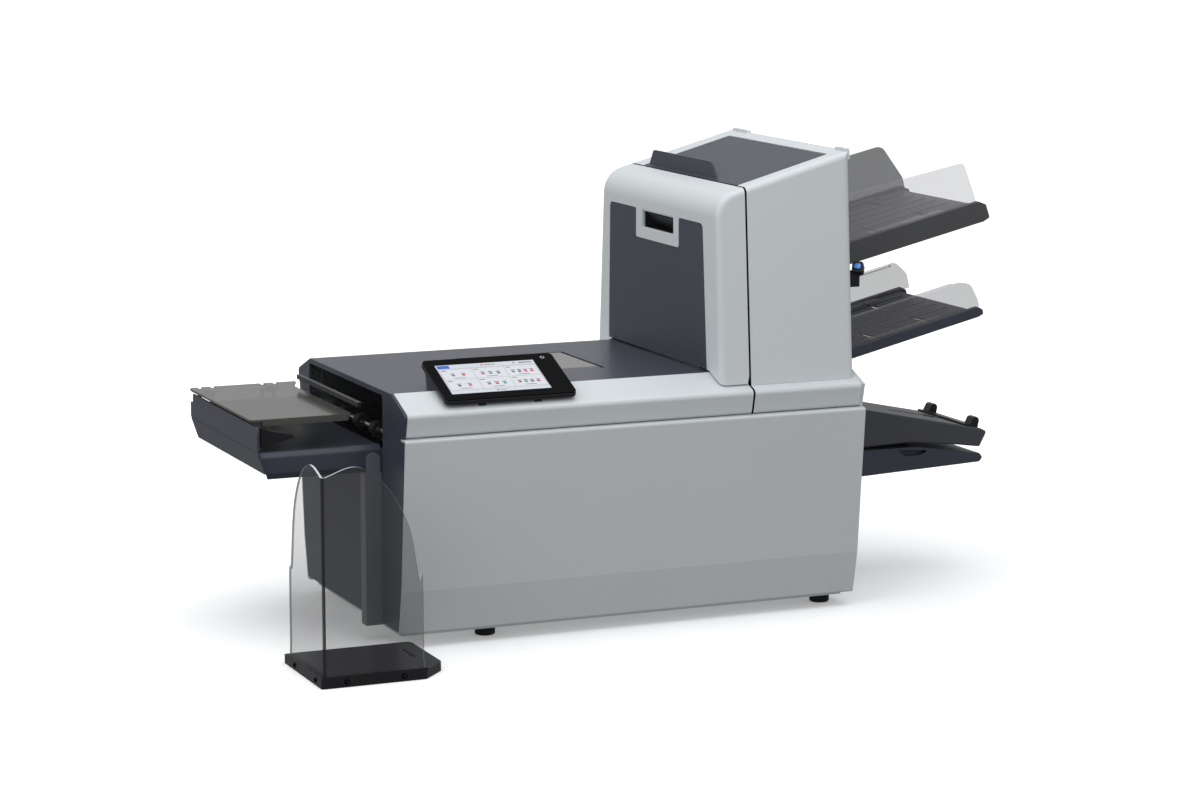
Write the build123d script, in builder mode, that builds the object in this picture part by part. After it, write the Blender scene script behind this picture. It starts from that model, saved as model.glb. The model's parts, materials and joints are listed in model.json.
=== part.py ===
"""Tabletop folder-inserter: mail inserting machine with three feeders and a catch stacker.

Frame: X runs along the machine towards the feed trays, Y towards its rear, Z up. The origin is
the centre of the footprint of the whole machine, on the table. All sizes are in millimetres.
"""

import os
from math import atan2, cos, radians, sin, sqrt, tan

from build123d import *

os.makedirs("parts", exist_ok=True)

# ---------------------------------------------------------------- driving dimensions
body_length = 680.0
body_depth = 447.0
output_reach = 178.0
feeder_reach = 281.0
stacker_reach = 130.0

plate_height = 343.5
shoulder_height = 322.0
shoulder_run = 55.0
shoulder_foot_inset = 8.0
panel_top = 289.0
panel_proud = 3.0
crease_height = 80.7
crease_inset = 20.0
panel_bottom = 20.0
bottom_inset = 32.7

wall = 3.0
end_wall = 4.0
steel = 2.0
frame_steel = 3.0
shut_line = 2.2
touch = 0.4
running = 0.05

tower_length = 205.4
tower_right_inset = 9.0
tower_base_inset = 15.0
tower_back_inset = 1.5
tower_lean = 4.2
tower_low_height = 586.5
tower_slope = 15.5
tower_round = 36.0
door_depth = 44.5

tray_slope = 13.4
paper_width = 216.0
guide_wall = 2.5
guide_clearance = 0.5
rail_width = 10.0

# ---------------------------------------------------------------- places that follow from them
body_left = (output_reach - body_length - feeder_reach) / 2
body_right = body_left + body_length
body_front = (stacker_reach - body_depth) / 2
body_back = body_front + body_depth
mid = (body_front + body_back) / 2

plate_front = body_front + shoulder_run
plate_back = body_back - shoulder_run
shoulder_rise = (plate_height - shoulder_height) / shoulder_run
frame_front = body_front + 62.0
frame_back = body_back - 62.0

tower_right = body_right - tower_right_inset
tower_left = tower_right - tower_length
seam = tower_left + door_depth
lean = tan(radians(tower_lean))
rise = tan(radians(tower_slope))
tray_width = paper_width + 2 * (guide_wall + guide_clearance + rail_width)

LOW = (Align.CENTER, Align.CENTER, Align.MIN)


# ---------------------------------------------------------------- helpers
def at_x(x):
    """Plane across the machine: sketch axes Y and Z, extrusion towards +X."""
    return Plane.YZ.offset(x)


def at_y(y):
    """Plane along the machine: sketch axes X and Z, extrusion towards -Y."""
    return Plane.XZ.offset(-y)


def at_z(z):
    """Level plane: sketch axes X and Y, extrusion upwards."""
    return Plane.XY.offset(z)


def outline(points, radii=0.0):
    """Closed outline through points; radii is one corner radius or one for each point."""
    if isinstance(radii, (int, float)):
        radii = [radii] * len(points)
    with BuildSketch() as shape:
        Polygon(*points, align=None)
        for point, radius in zip(points, radii):
            if radius:
                fillet(shape.vertices().sort_by_distance(Vector(*point))[0], radius=radius)
    return shape.sketch


def rectangle(low, high, radius=0.0):
    """Rectangle between two corners, with one corner radius."""
    return outline([low, (high[0], low[1]), high, (low[0], high[1])], radius)


def bent_sheet(path, thickness, radius=0.0):
    """Section of a bent sheet: path is one face, and the sheet lies on its left-hand side."""
    points = [Vector(*point) for point in path]
    runs = [(b - a).normalized() for a, b in zip(points, points[1:])]
    normals = [Vector(-run.Y, run.X) for run in runs]
    shifts = [normals[0]]
    shifts += [(a + b) * (1 / (1 + a.dot(b))) for a, b in zip(normals, normals[1:])]
    shifts += [normals[-1]]
    other = [point + shift * thickness for point, shift in zip(points, shifts)]
    with BuildSketch() as section:
        Polygon(*[(p.X, p.Y) for p in points + other[::-1]], align=None)
        if radius:
            for i, (first, second) in enumerate(zip(runs, runs[1:]), start=1):
                left_turn = first.X * second.Y - first.Y * second.X > 0
                inside = other[i] if left_turn else points[i]
                outside = points[i] if left_turn else other[i]
                fillet(section.vertices().sort_by_distance(outside)[0], radius=radius)
                if radius > thickness:
                    fillet(section.vertices().sort_by_distance(inside)[0], radius=radius - thickness)
    return section.sketch


def prism(section, plane, length, mode=Mode.ADD):
    """Extrude a section from a plane."""
    with BuildSketch(plane) as profile:
        add(section)
    extrude(profile.sketch, amount=length, mode=mode)


def block(low, high, mode=Mode.ADD):
    """Box from its lowest to its highest corner."""
    with Locations(tuple((a + b) / 2 for a, b in zip(low, high))):
        Box(*[b - a for a, b in zip(low, high)], mode=mode)


def rod(start, end, radius, mode=Mode.ADD):
    """Round bar between two points."""
    axis = Vector(*end) - Vector(*start)
    with Locations(Plane(origin=start, z_dir=axis)):
        Cylinder(radius, axis.length, align=LOW, mode=mode)


def save(piece, name):
    """Label a finished piece and write its STEP file."""
    piece.part.label = name
    export_step(piece.part, f"parts/{name}.step")


# ---------------------------------------------------------------- chassis
foot_radius = 14.0
foot_height = 14.0
foot_inset_x = 140.0
foot_inset_right = 30.0
foot_inset_y = 75.0
pan_flange = 14.0
pan_inset = 10.0
pan_left, pan_right = body_left + pan_inset, body_right - pan_inset
pan_front, pan_back = body_front + 48.0, body_back - 48.0
foot_places = [
    (x, y)
    for x in (body_left + foot_inset_x, body_right - foot_inset_right)
    for y in (body_front + foot_inset_y, body_back - foot_inset_y)
]

with BuildPart() as feet:
    with Locations([(x, y, 0) for x, y in foot_places]):
        Cylinder(foot_radius, foot_height, align=LOW)
    chamfer(feet.edges().filter_by(GeomType.CIRCLE).group_by(Axis.Z)[0], length=1.5)
save(feet, "feet")

with BuildPart() as base_pan:
    block((pan_left, pan_front, foot_height), (pan_right, pan_back, foot_height + pan_flange))
    block(
        (pan_left + steel, pan_front + steel, foot_height + steel),
        (pan_right - steel, pan_back - steel, foot_height + pan_flange + 1),
        Mode.SUBTRACT,
    )
    with BuildSketch(at_z(foot_height)):
        with Locations((body_left + 420, mid)):
            with GridLocations(16, 60, 8, 3):
                SlotOverall(44, 6, rotation=90)
    extrude(amount=steel, mode=Mode.SUBTRACT)
save(base_pan, "base_pan")

frame_low = foot_height + steel
frame_high = plate_height - wall - 2.0
frame_end = 14.0
tower_frame_left = seam + 6.0
tower_frame_right = tower_right - 8.0
tower_frame_drop = 34.0


def top_of_tower(x):
    """Height of the sloping tower top at x."""
    return tower_low_height + (x - tower_left) * rise


frame_outline = [
    (body_left + frame_end, frame_low),
    (body_right - frame_end, frame_low),
    (body_right - frame_end, frame_high),
    (tower_frame_right, frame_high),
    (tower_frame_right, top_of_tower(tower_frame_right) - tower_frame_drop),
    (tower_frame_left, top_of_tower(tower_frame_left) - tower_frame_drop),
    (tower_frame_left, frame_high),
    (body_left + frame_end, frame_high),
]

# ---------------------------------------------------------------- shafts, held by both frame plates
shaft_radius = 5.0
bearing_radius = 9.0
motor_boss_radius = 11.0
bearing_length = 7.0
upper_deck_height = 498.2
middle_deck_height = 345.0
stack_height = 58.0
envelope_deck_height = 273.0

exit_nip = (body_left + 30.0, 284.0)
fold_nip = (body_left + 262.0, 250.0)
exit_roll_radius = 12.0
fold_roll_radius = 18.0
feed_roll_radius = 19.0
feed_roll_x = tower_right - 30.0
motor_x, motor_z = fold_nip[0] + 208.0, 110.0
shafts = {
    "exit_roller": (exit_nip[0], exit_nip[1] - exit_roll_radius, exit_roll_radius),
    "lower_fold_roller": (fold_nip[0], fold_nip[1] - fold_roll_radius, fold_roll_radius),
    "upper_fold_roller": (fold_nip[0], fold_nip[1] + fold_roll_radius + touch, fold_roll_radius),
    "upper_feed_roller": (feed_roll_x, upper_deck_height + stack_height, feed_roll_radius),
    "middle_feed_roller": (feed_roll_x, middle_deck_height + stack_height, feed_roll_radius),
    "envelope_feed_roller": (feed_roll_x, envelope_deck_height + 22.0, feed_roll_radius),
}

for name, y, step in (("front_frame", frame_front, 1), ("rear_frame", frame_back, -1)):
    with BuildPart() as frame_plate:
        prism(outline(frame_outline), at_y(max(y, y + step * frame_steel)), frame_steel)
        for x, z, _ in shafts.values():
            rod((x, frame_front - 1, z), (x, frame_back + 1, z), bearing_radius, Mode.SUBTRACT)
        rod((motor_x, frame_front - 1, motor_z), (motor_x, frame_front + frame_steel, motor_z),
            motor_boss_radius + touch, Mode.SUBTRACT)
        for i in range(1, 6):
            window = body_left + i * body_length / 6
            prism(
                rectangle((window - 30, frame_low + 60), (window + 30, frame_low + 130), 10),
                at_y(frame_back + 1), frame_back - frame_front + 2, Mode.SUBTRACT,
            )
    save(frame_plate, name)

tie_radius = 6.0
tie_places = [
    (body_left + 60, 60), (body_left + 60, 225), (body_left + 330, 60), (body_left + 330, 300),
    (body_right - 30, 60), (body_right - 30, 225), (seam + 30, 520), (tower_right - 60, 575),
]
with BuildPart() as frame_ties:
    for x, z in tie_places:
        rod((x, frame_front + frame_steel, z), (x, frame_back - frame_steel, z), tie_radius)
save(frame_ties, "frame_ties")

with BuildPart() as shaft_bearings:
    for x, z, _ in shafts.values():
        for y0, y1 in (
            (frame_front - 2, frame_front - 2 + bearing_length),
            (frame_back + 2 - bearing_length, frame_back + 2),
        ):
            rod((x, y0, z), (x, y1, z), bearing_radius - 0.02)
            rod((x, y0 - 1, z), (x, y1 + 1, z), shaft_radius + running, Mode.SUBTRACT)
save(shaft_bearings, "shaft_bearings")

# ---------------------------------------------------------------- rollers, rubber bonded to steel
roll_shapes = {
    "exit_roller": (4, 16.0),
    "lower_fold_roller": (1, 260.0),
    "upper_fold_roller": (1, 260.0),
    "upper_feed_roller": (3, 26.0),
    "middle_feed_roller": (3, 26.0),
    "envelope_feed_roller": (2, 30.0),
}
roll_span = 200.0
pulley_gap = 8.0
pulley_width = 8.0
pulley_radius = 15.0
pulley_back = frame_front - pulley_gap
pulley_front = pulley_back - pulley_width

for name, (count, width) in roll_shapes.items():
    x, z, radius = shafts[name]
    pitch = roll_span / (count - 1) if count > 1 else 0.0
    with BuildPart() as roller:
        rod((x, frame_front - 3.0, z), (x, frame_back + 3.0, z), shaft_radius)
        for i in range(count):
            y = mid + (i - (count - 1) / 2) * pitch
            rod((x, y - width / 2, z), (x, y + width / 2, z), radius)
        if name == "lower_fold_roller":
            rod((x, pulley_front, z), (x, frame_front, z), shaft_radius)
            rod((x, pulley_front, z), (x, pulley_back, z), pulley_radius)
    save(roller, name)

# ---------------------------------------------------------------- drive and electrics
motor_radius, motor_length = 32.0, 70.0
motor_pulley_radius = 10.0
motor_shaft_radius = 4.0
motor_face = frame_front + frame_steel

with BuildPart() as drive_motor:
    rod((motor_x, motor_face, motor_z), (motor_x, motor_face + motor_length, motor_z), motor_radius)
    rod((motor_x, frame_front - 3, motor_z), (motor_x, motor_face + 1, motor_z),
        motor_boss_radius)
    rod((motor_x, frame_front - 4, motor_z), (motor_x, motor_face + 20, motor_z),
        motor_shaft_radius + running, Mode.SUBTRACT)
save(drive_motor, "drive_motor")

with BuildPart() as motor_pulley:
    rod((motor_x, pulley_front, motor_z), (motor_x, motor_face + 19, motor_z), motor_shaft_radius)
    rod((motor_x, pulley_front, motor_z), (motor_x, pulley_back, motor_z), motor_pulley_radius)
save(motor_pulley, "motor_pulley")

belt_thickness = 1.5
fold_shaft = (shafts["lower_fold_roller"][0], shafts["lower_fold_roller"][1])


def belt_outline(grow):
    """Loop around the motor and fold pulleys, `grow` outside their rims."""
    r0, r1 = motor_pulley_radius + grow, pulley_radius + grow
    dx, dz = fold_shaft[0] - motor_x, fold_shaft[1] - motor_z
    span = sqrt(dx * dx + dz * dz)
    line = atan2(dz, dx)
    tangent = atan2(sqrt(span * span - (r1 - r0) ** 2), r0 - r1)
    sides = [line + tangent, line - tangent]
    first = [(motor_x + r0 * cos(a), motor_z + r0 * sin(a)) for a in sides]
    last = [(fold_shaft[0] + r1 * cos(a), fold_shaft[1] + r1 * sin(a)) for a in sides]
    with BuildSketch() as loop:
        with BuildLine():
            Line(first[0], last[0])
            ThreePointArc(last[0], (fold_shaft[0] + r1 * cos(line), fold_shaft[1] + r1 * sin(line)),
                          last[1])
            Line(last[1], first[1])
            ThreePointArc(first[1], (motor_x - r0 * cos(line), motor_z - r0 * sin(line)), first[0])
        make_face()
    return loop.sketch


with BuildPart() as drive_belt:
    prism(belt_outline(touch + belt_thickness), at_y(pulley_back - 1), pulley_width - 2)
    prism(belt_outline(touch), at_y(pulley_back), pulley_width, Mode.SUBTRACT)
save(drive_belt, "drive_belt")

board_back = frame_back + 14.0
with BuildPart() as control_board:
    board_left = body_left + 60.0
    block((board_left, board_back - 1.6, 60), (board_left + 160, board_back, 190))
    for dx, dz, w, h in ((12, 14, 30, 22), (60, 20, 24, 24), (100, 12, 44, 16), (20, 70, 18, 40),
                         (60, 72, 70, 30)):
        block((board_left + dx, board_back, 60 + dz), (board_left + dx + w, board_back + 5, 60 + dz + h))
    for x in (board_left + 6, board_left + 154):
        for z in (66, 184):
            rod((x, frame_back, z), (x, board_back - 1.6, z), 3.0)
save(control_board, "control_board")

with BuildPart() as power_supply:
    supply_low = (body_right - 170, mid + 20, frame_low)
    supply_high = (body_right - 50, mid + 120, frame_low + 60)
    block(supply_low, supply_high)
    with BuildSketch(at_z(supply_high[2] - steel)):
        with Locations(((supply_low[0] + supply_high[0]) / 2, (supply_low[1] + supply_high[1]) / 2)):
            with GridLocations(14, 30, 7, 2):
                SlotOverall(22, 4, rotation=90)
    extrude(amount=steel, mode=Mode.SUBTRACT)
save(power_supply, "power_supply")

# ---------------------------------------------------------------- covers of the main housing
panel_face = body_front - panel_proud
panel_return = panel_face + 18.0
front_panel_path = [
    (panel_return, panel_top),
    (panel_face, panel_top),
    (panel_face + crease_inset, crease_height),
    (panel_face + bottom_inset, panel_bottom),
    (panel_face + bottom_inset + 12.0, panel_bottom),
]

shoulder_path = [
    (plate_front, plate_height),
    (body_front, shoulder_height),
    (body_front + shoulder_foot_inset, panel_top + touch),
    (body_front + shoulder_foot_inset + 14.0, panel_top + touch),
]
shoulder_bend, panel_bend = 7.0, 4.0


def mirrored(path):
    """The same path of Y and Z points on the rear side of the machine."""
    return [(2 * mid - y, z) for y, z in path[::-1]]


with BuildPart() as front_panel:
    prism(bent_sheet(front_panel_path, wall, panel_bend), at_x(body_left), body_length)
save(front_panel, "front_panel")

vent_x = body_left + 150.0
with BuildPart() as rear_panel:
    prism(bent_sheet(mirrored(front_panel_path), wall, panel_bend), at_x(body_left), body_length)
    with BuildSketch(at_y(body_back + 10)):
        for x in (vent_x, body_right - 150.0):
            with Locations((x, 180)):
                with GridLocations(0, 10, 1, 9):
                    SlotOverall(90, 5)
    extrude(amount=40, mode=Mode.SUBTRACT)
save(rear_panel, "rear_panel")

cheek_depth = 52.0
shoulder_left = body_left + end_wall + touch
shoulder_right = body_right - end_wall - touch
for name, x0, x1 in (
    ("left_shoulder", shoulder_left, seam - shut_line / 2),
    ("right_shoulder", seam + shut_line / 2, shoulder_right),
):
    with BuildPart() as shoulder:
        prism(bent_sheet(shoulder_path, wall, shoulder_bend), at_x(x0), x1 - x0)
        block((x0, plate_front, shoulder_height), (x1, plate_front + wall, plate_height), Mode.SUBTRACT)
    save(shoulder, name)

with BuildPart() as rear_shoulder:
    prism(bent_sheet(mirrored(shoulder_path), wall, shoulder_bend), at_x(shoulder_left),
          shoulder_right - shoulder_left)
    block((shoulder_left, plate_back - wall, shoulder_height), (shoulder_right, plate_back, plate_height),
          Mode.SUBTRACT)
save(rear_shoulder, "rear_shoulder")

hatch_left, hatch_right = body_left + 190.0, body_left + 347.0
hatch_front, hatch_back = body_front + 152.0, body_front + 304.0
finger_gap, hatch_gap = 4.5, 1.2
plate_tuck = 26.0
plate_right = tower_left + plate_tuck

hatch_hinge = (hatch_left - hatch_gap / 2, plate_height - 0.4)
hatch_knuckle_radius, hatch_pin_radius, hatch_notch = 2.0, 1.0, 2.6
hatch_knuckle_length, hatch_eye_length, hatch_knuckle_gap = 7.0, 12.0, 0.3
hatch_knuckles = (hatch_front + 12.0, hatch_back - 40.0)


def hatch_knuckle(y, length, radius, mode=Mode.ADD):
    """Round knuckle of the hatch hinge from y towards the rear."""
    rod((hatch_hinge[0], y, hatch_hinge[1]), (hatch_hinge[0], y + length, hatch_hinge[1]), radius, mode)


with BuildPart() as top_plate:
    block((body_left, plate_front + touch, plate_height - wall),
          (plate_right, plate_back - touch, plate_height))
    prism(
        rectangle((hatch_left - hatch_gap, hatch_front - hatch_gap),
                  (hatch_right + finger_gap, hatch_back + finger_gap), 2.0),
        at_z(plate_height - wall - 1), wall + 2, Mode.SUBTRACT,
    )
    for y in hatch_knuckles:
        hatch_knuckle(y + hatch_knuckle_length + hatch_knuckle_gap, hatch_eye_length, hatch_notch,
                      Mode.SUBTRACT)
        for y0 in (y, y + 2 * hatch_knuckle_gap + hatch_knuckle_length + hatch_eye_length):
            hatch_knuckle(y0, hatch_knuckle_length, hatch_knuckle_radius)
            block((hatch_hinge[0] - 3, y0, plate_height - wall),
                  (hatch_hinge[0], y0 + hatch_knuckle_length, plate_height))
        hatch_knuckle(y, 2 * (hatch_knuckle_length + hatch_knuckle_gap) + hatch_eye_length,
                      hatch_pin_radius)
save(top_plate, "top_plate")

with BuildPart() as window_hatch:
    prism(rectangle((hatch_left, hatch_front), (hatch_right, hatch_back), 3.0),
          at_z(plate_height - wall), wall)
    fillet(window_hatch.faces().sort_by(Axis.Z)[-1].edges(), radius=0.8)
    for y in hatch_knuckles:
        last = y + 2 * hatch_knuckle_gap + hatch_knuckle_length + hatch_eye_length
        for y0 in (y, last):
            hatch_knuckle(y0 - hatch_knuckle_gap, hatch_knuckle_length + 2 * hatch_knuckle_gap,
                          hatch_notch, Mode.SUBTRACT)
        eye = y + hatch_knuckle_length + hatch_knuckle_gap
        hatch_knuckle(eye, hatch_eye_length, hatch_knuckle_radius)
        block((hatch_hinge[0], eye, plate_height - wall), (hatch_hinge[0] + 4, eye + hatch_eye_length,
                                                           plate_height - 0.8))
        hatch_knuckle(eye - 1, hatch_eye_length + 2, hatch_pin_radius + running, Mode.SUBTRACT)
save(window_hatch, "window_hatch")

# end covers
exit_front, exit_back = body_front + 88.0, body_front + 397.0
exit_low, exit_high = 262.0, plate_height - wall - 4.0
end_foot = panel_bottom + wall + touch
end_outline = [
    (panel_face + wall + 1.0 + bottom_inset, end_foot),
    (panel_face + wall + 1.0 + crease_inset, crease_height),
    (body_front + 1.0, panel_top - wall - touch),
    (body_front + cheek_depth - 4.0, 300.0),
    (body_front + cheek_depth, plate_height - wall - touch),
]
end_section = outline(end_outline + mirrored(end_outline))
cheek_outline = [
    (plate_front - touch, plate_height),
    (body_front, shoulder_height),
    (body_front + shoulder_foot_inset, panel_top + touch),
    (body_front + shoulder_foot_inset + 4.0, panel_top + touch),
    (body_front + cheek_depth - 4.0 - touch, 300.0 + touch),
    (body_front + cheek_depth - touch, plate_height - wall),
]


def clear_panel_returns():
    """Cut an end panel clear of the folded top edges of the front and rear panels."""
    for y0, y1 in ((panel_face, panel_return), (2 * mid - panel_return, 2 * mid - panel_face)):
        block((body_left - 1, y0 - touch, panel_top - wall - touch),
              (body_right + 1, y1 + touch, panel_top + touch),
              Mode.SUBTRACT)


with BuildPart() as left_end_panel:
    prism(end_section, at_x(body_left), end_wall)
    clear_panel_returns()
    prism(rectangle((exit_front, exit_low), (exit_back, exit_high), 6.0),
          at_x(body_left - 1), end_wall + 2, Mode.SUBTRACT)
    prism(outline(cheek_outline, [0, 7, 0, 0, 0, 0]), at_x(body_left), end_wall)
    prism(outline(mirrored(cheek_outline), [0, 0, 0, 0, 7, 0]), at_x(body_left), end_wall)
save(left_end_panel, "left_end_panel")

inlet_y, inlet_z = body_front + 350.0, 62.0
inlet_width, inlet_height = 27.0, 20.0
switch_z = inlet_z + 34.0
switch_width, switch_height = 12.0, 19.0
rocker_x = body_right - 3.0
rocker_pin_radius = 1.2
feeder_front, feeder_back = body_front + 148.0, body_front + 298.0
right_outline = end_outline[:2] + [
    (body_front + shoulder_foot_inset + 2.0, panel_top - wall - touch),
    (body_front + shoulder_foot_inset, panel_top + touch),
    (body_front, shoulder_height),
    (plate_front, plate_height),
]
right_section = outline(right_outline + mirrored(right_outline))

with BuildPart() as right_end_panel:
    prism(right_section, at_x(body_right - end_wall), end_wall)
    clear_panel_returns()
    block((body_right - end_wall - 1, feeder_front - 3, 196), (body_right + 1, feeder_back + 3, 288),
          Mode.SUBTRACT)
    block((body_right - end_wall - 1, inlet_y - inlet_width / 2, inlet_z - inlet_height / 2),
          (body_right + 1, inlet_y + inlet_width / 2, inlet_z + inlet_height / 2), Mode.SUBTRACT)
    block((body_right - end_wall - 1, inlet_y - switch_width / 2, switch_z - switch_height / 2),
          (body_right + 1, inlet_y + switch_width / 2, switch_z + switch_height / 2), Mode.SUBTRACT)
save(right_end_panel, "right_end_panel")

with BuildPart() as right_top_plate:
    block((plate_right + touch, plate_front + touch, plate_height - wall),
          (body_right - end_wall - touch, plate_back - touch, plate_height))
    block((seam + 8, frame_front + 8, plate_height - wall - 1),
          (tower_right - 14, frame_back - 8, plate_height + 1),
          Mode.SUBTRACT)
    for y in (frame_front, frame_back - frame_steel):
        block((tower_frame_left - 1, y - touch, frame_high),
              (tower_frame_right + 1, y + frame_steel + touch, 350),
              Mode.SUBTRACT)
save(right_top_plate, "right_top_plate")

with BuildPart() as mains_inlet:
    half_y, half_z = inlet_width / 2 - 0.2, inlet_height / 2 - 0.2
    block((body_right - 22, inlet_y - half_y, inlet_z - half_z),
          (body_right, inlet_y + half_y, inlet_z + half_z))
    block((body_right, inlet_y - half_y - 3, inlet_z - half_z - 3),
          (body_right + 2, inlet_y + half_y + 3, inlet_z + half_z + 3))
    prism(rectangle((inlet_y - half_y + 2, inlet_z - half_z + 2),
                    (inlet_y + half_y - 2, inlet_z + half_z - 2), 3),
          at_x(body_right - 16), 20, Mode.SUBTRACT)
    for dy, dz in ((-6, -2), (0, 2), (6, -2)):
        block((body_right - 17, inlet_y + dy - 1, inlet_z + dz - 2),
              (body_right - 3, inlet_y + dy + 1, inlet_z + dz + 2))
    block((body_right - 14, inlet_y - switch_width / 2 + 0.2, switch_z - switch_height / 2 + 0.2),
          (body_right + 1.5, inlet_y + switch_width / 2 - 0.2, switch_z + switch_height / 2 - 0.2))
    block((body_right - 12, inlet_y - switch_width / 2 + 1.4, switch_z - switch_height / 2 + 1.2),
          (body_right + 2, inlet_y + switch_width / 2 - 1.4, switch_z + switch_height / 2 - 1.2),
          Mode.SUBTRACT)
    rod((rocker_x, inlet_y - switch_width / 2 + 0.6, switch_z),
        (rocker_x, inlet_y + switch_width / 2 - 0.6, switch_z),
        rocker_pin_radius)
save(mains_inlet, "mains_inlet")

with BuildPart() as power_rocker:
    prism(outline([
        (rocker_x - 7, switch_z - 4), (rocker_x + 1.5, switch_z - 7), (rocker_x + 6.5, switch_z - 6.6),
        (rocker_x + 4.0, switch_z), (rocker_x + 6.5, switch_z + 6.6), (rocker_x + 1.5, switch_z + 7),
        (rocker_x - 7, switch_z + 4)], [0, 0, 1, 3, 1, 0, 0]),
        at_y(inlet_y + switch_width / 2 - 1.8), switch_width - 3.6)
    rod((rocker_x, inlet_y - switch_width, switch_z), (rocker_x, inlet_y + switch_width, switch_z),
        rocker_pin_radius + running, Mode.SUBTRACT)
save(power_rocker, "power_rocker")

# ---------------------------------------------------------------- tower
base_front, base_back = body_front + tower_base_inset, body_back - tower_back_inset
tower_corner = 9.0


def tower_block(left, right, inset=0.0, lift=touch):
    """Leaning block of the tower from x = left to right, drawn in by inset, lift above the housing."""
    low_x, high_x = tower_left + inset, tower_right - inset
    drop = inset / cos(radians(tower_slope))
    ceiling = top_of_tower(tower_right) + 20.0
    face = outline([(low_x, 250), (high_x, 250), (high_x, top_of_tower(high_x) - drop),
                    (low_x, top_of_tower(low_x) - drop)], [0, 0, 0, tower_round - inset])
    foot_y, back_y = base_front + inset, base_back - inset
    foot_z = shoulder_height + tower_base_inset * shoulder_rise + lift
    back_z = shoulder_height + tower_back_inset * shoulder_rise + lift
    side = [
        (foot_y + (ceiling - foot_z) * lean, ceiling), (foot_y, foot_z), (plate_front, plate_height + lift),
        (plate_back, plate_height + lift), (back_y, back_z), (back_y - (ceiling - back_z) * lean, ceiling),
    ]
    with BuildPart() as solid:
        prism(face, at_y(body_back), body_depth)
        prism(outline(side), at_x(tower_left), tower_length, Mode.INTERSECT)
        uprights = solid.edges().filter_by(
            lambda edge: abs((edge @ 1 - edge @ 0).normalized().Z) > 0.9 and edge.length > 100)
        fillet(uprights, radius=tower_corner - inset)
        block((left, body_front, 250), (right, body_back, 700), Mode.INTERSECT)
    return solid.part


door_lift = 2.5
door_foot = plate_height + door_lift
door_right = seam - shut_line / 2
panel_front, panel_back, panel_high = body_front + 62.0, body_front + 403.0, 547.0
notch_front, notch_back, notch_low = body_front + 157.5, body_front + 304.6, 505.0
pocket_front, pocket_back = body_front + 175.0, body_front + 284.0
pocket_low, pocket_high, pocket_depth = 519.6, 547.0, 30.0
door_pivot = (tower_left + 3.0, plate_height + 3.6)
latch_pivot = (tower_left + 8.0, pocket_high - 6.0)
latch_pin_radius = 1.8
knuckle_radius, pin_radius = 2.6, 1.5
knuckles = (panel_front + 8.0, panel_back - 34.0)


def door_panel_outline(grow):
    """Dark panel of the door, grow larger all round except at its foot."""
    return outline([
        (panel_front - grow, door_foot), (panel_back + grow, door_foot),
        (panel_back - 4.0 + grow, panel_high + grow), (notch_back - grow, panel_high + grow),
        (notch_back - grow, notch_low + grow), (notch_front + grow, notch_low + grow),
        (notch_front + grow, panel_high + grow), (panel_front + 16.0 - grow, panel_high + grow),
    ], [0, 0, 9, 4, 4, 4, 4, 9])


with BuildPart() as door_shell:
    add(tower_block(tower_left, door_right, lift=door_lift))
    add(tower_block(tower_left, seam + 1, wall, lift=door_lift - 60.0), mode=Mode.SUBTRACT)
    prism(door_panel_outline(0.3), at_x(tower_left - 1), wall + 2, Mode.SUBTRACT)
    prism(rectangle((pocket_front, pocket_low), (pocket_back, pocket_high), 3),
          at_x(tower_left - 1), wall + 2, Mode.SUBTRACT)
    prism(outline([(door_right + 1, plate_height + 4), (door_right - 5, shoulder_height - 2),
                   (door_right + 1, shoulder_height - 2)]), at_y(body_back), body_depth, Mode.SUBTRACT)
    for y in knuckles:
        block((tower_left - 1, y - 0.5, door_foot - 1), (tower_left + 8, y + 20.5, door_foot + 4),
              Mode.SUBTRACT)
save(door_shell, "door_shell")

with BuildPart() as door_panel:
    prism(door_panel_outline(0.0), at_x(tower_left + 0.8), wall - 0.8)
    prism(door_panel_outline(5.0), at_x(tower_left + wall), 2.0)
    for y in knuckles:
        block((tower_left - 1, y - 0.5, door_foot - 1), (tower_left + 8, y + 20.5, door_foot + 4),
              Mode.SUBTRACT)
        for y0 in (y, y + 14.0):
            block((tower_left + 1, y0, door_pivot[1]), (tower_left + 5, y0 + 6, door_foot + 4))
            rod((door_pivot[0], y0, door_pivot[1]), (door_pivot[0], y0 + 6, door_pivot[1]), knuckle_radius)
            rod((door_pivot[0], y0 - 1, door_pivot[1]), (door_pivot[0], y0 + 7, door_pivot[1]),
                pin_radius + running, Mode.SUBTRACT)
save(door_panel, "door_panel")

with BuildPart() as door_hinges:
    for y in knuckles:
        rod((door_pivot[0], y + 6.5, door_pivot[1]), (door_pivot[0], y + 13.5, door_pivot[1]),
            knuckle_radius)
        block((door_pivot[0] - 1.5, y + 6.5, plate_height), (door_pivot[0] + 9, y + 13.5, plate_height + 2))
        block((door_pivot[0] - 1.5, y + 6.5, plate_height), (door_pivot[0] + 1.5, y + 13.5, door_pivot[1]))
        rod((door_pivot[0], y, door_pivot[1]), (door_pivot[0], y + 20, door_pivot[1]), pin_radius)
save(door_hinges, "door_hinges")

with BuildPart() as handle_pocket:
    prism(rectangle((pocket_front + 0.1, pocket_low + 0.1), (pocket_back - 0.1, pocket_high - 0.1), 3),
          at_x(tower_left + 1.0), pocket_depth - 1.0)
    block((tower_left, pocket_front + 2, pocket_low + 2),
          (tower_left + pocket_depth - 2, pocket_back - 2, pocket_high - 2), Mode.SUBTRACT)
    rod((latch_pivot[0], pocket_front + 0.6, latch_pivot[1]),
        (latch_pivot[0], pocket_back - 0.6, latch_pivot[1]),
        latch_pin_radius + running, Mode.SUBTRACT)
save(handle_pocket, "handle_pocket")

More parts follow.
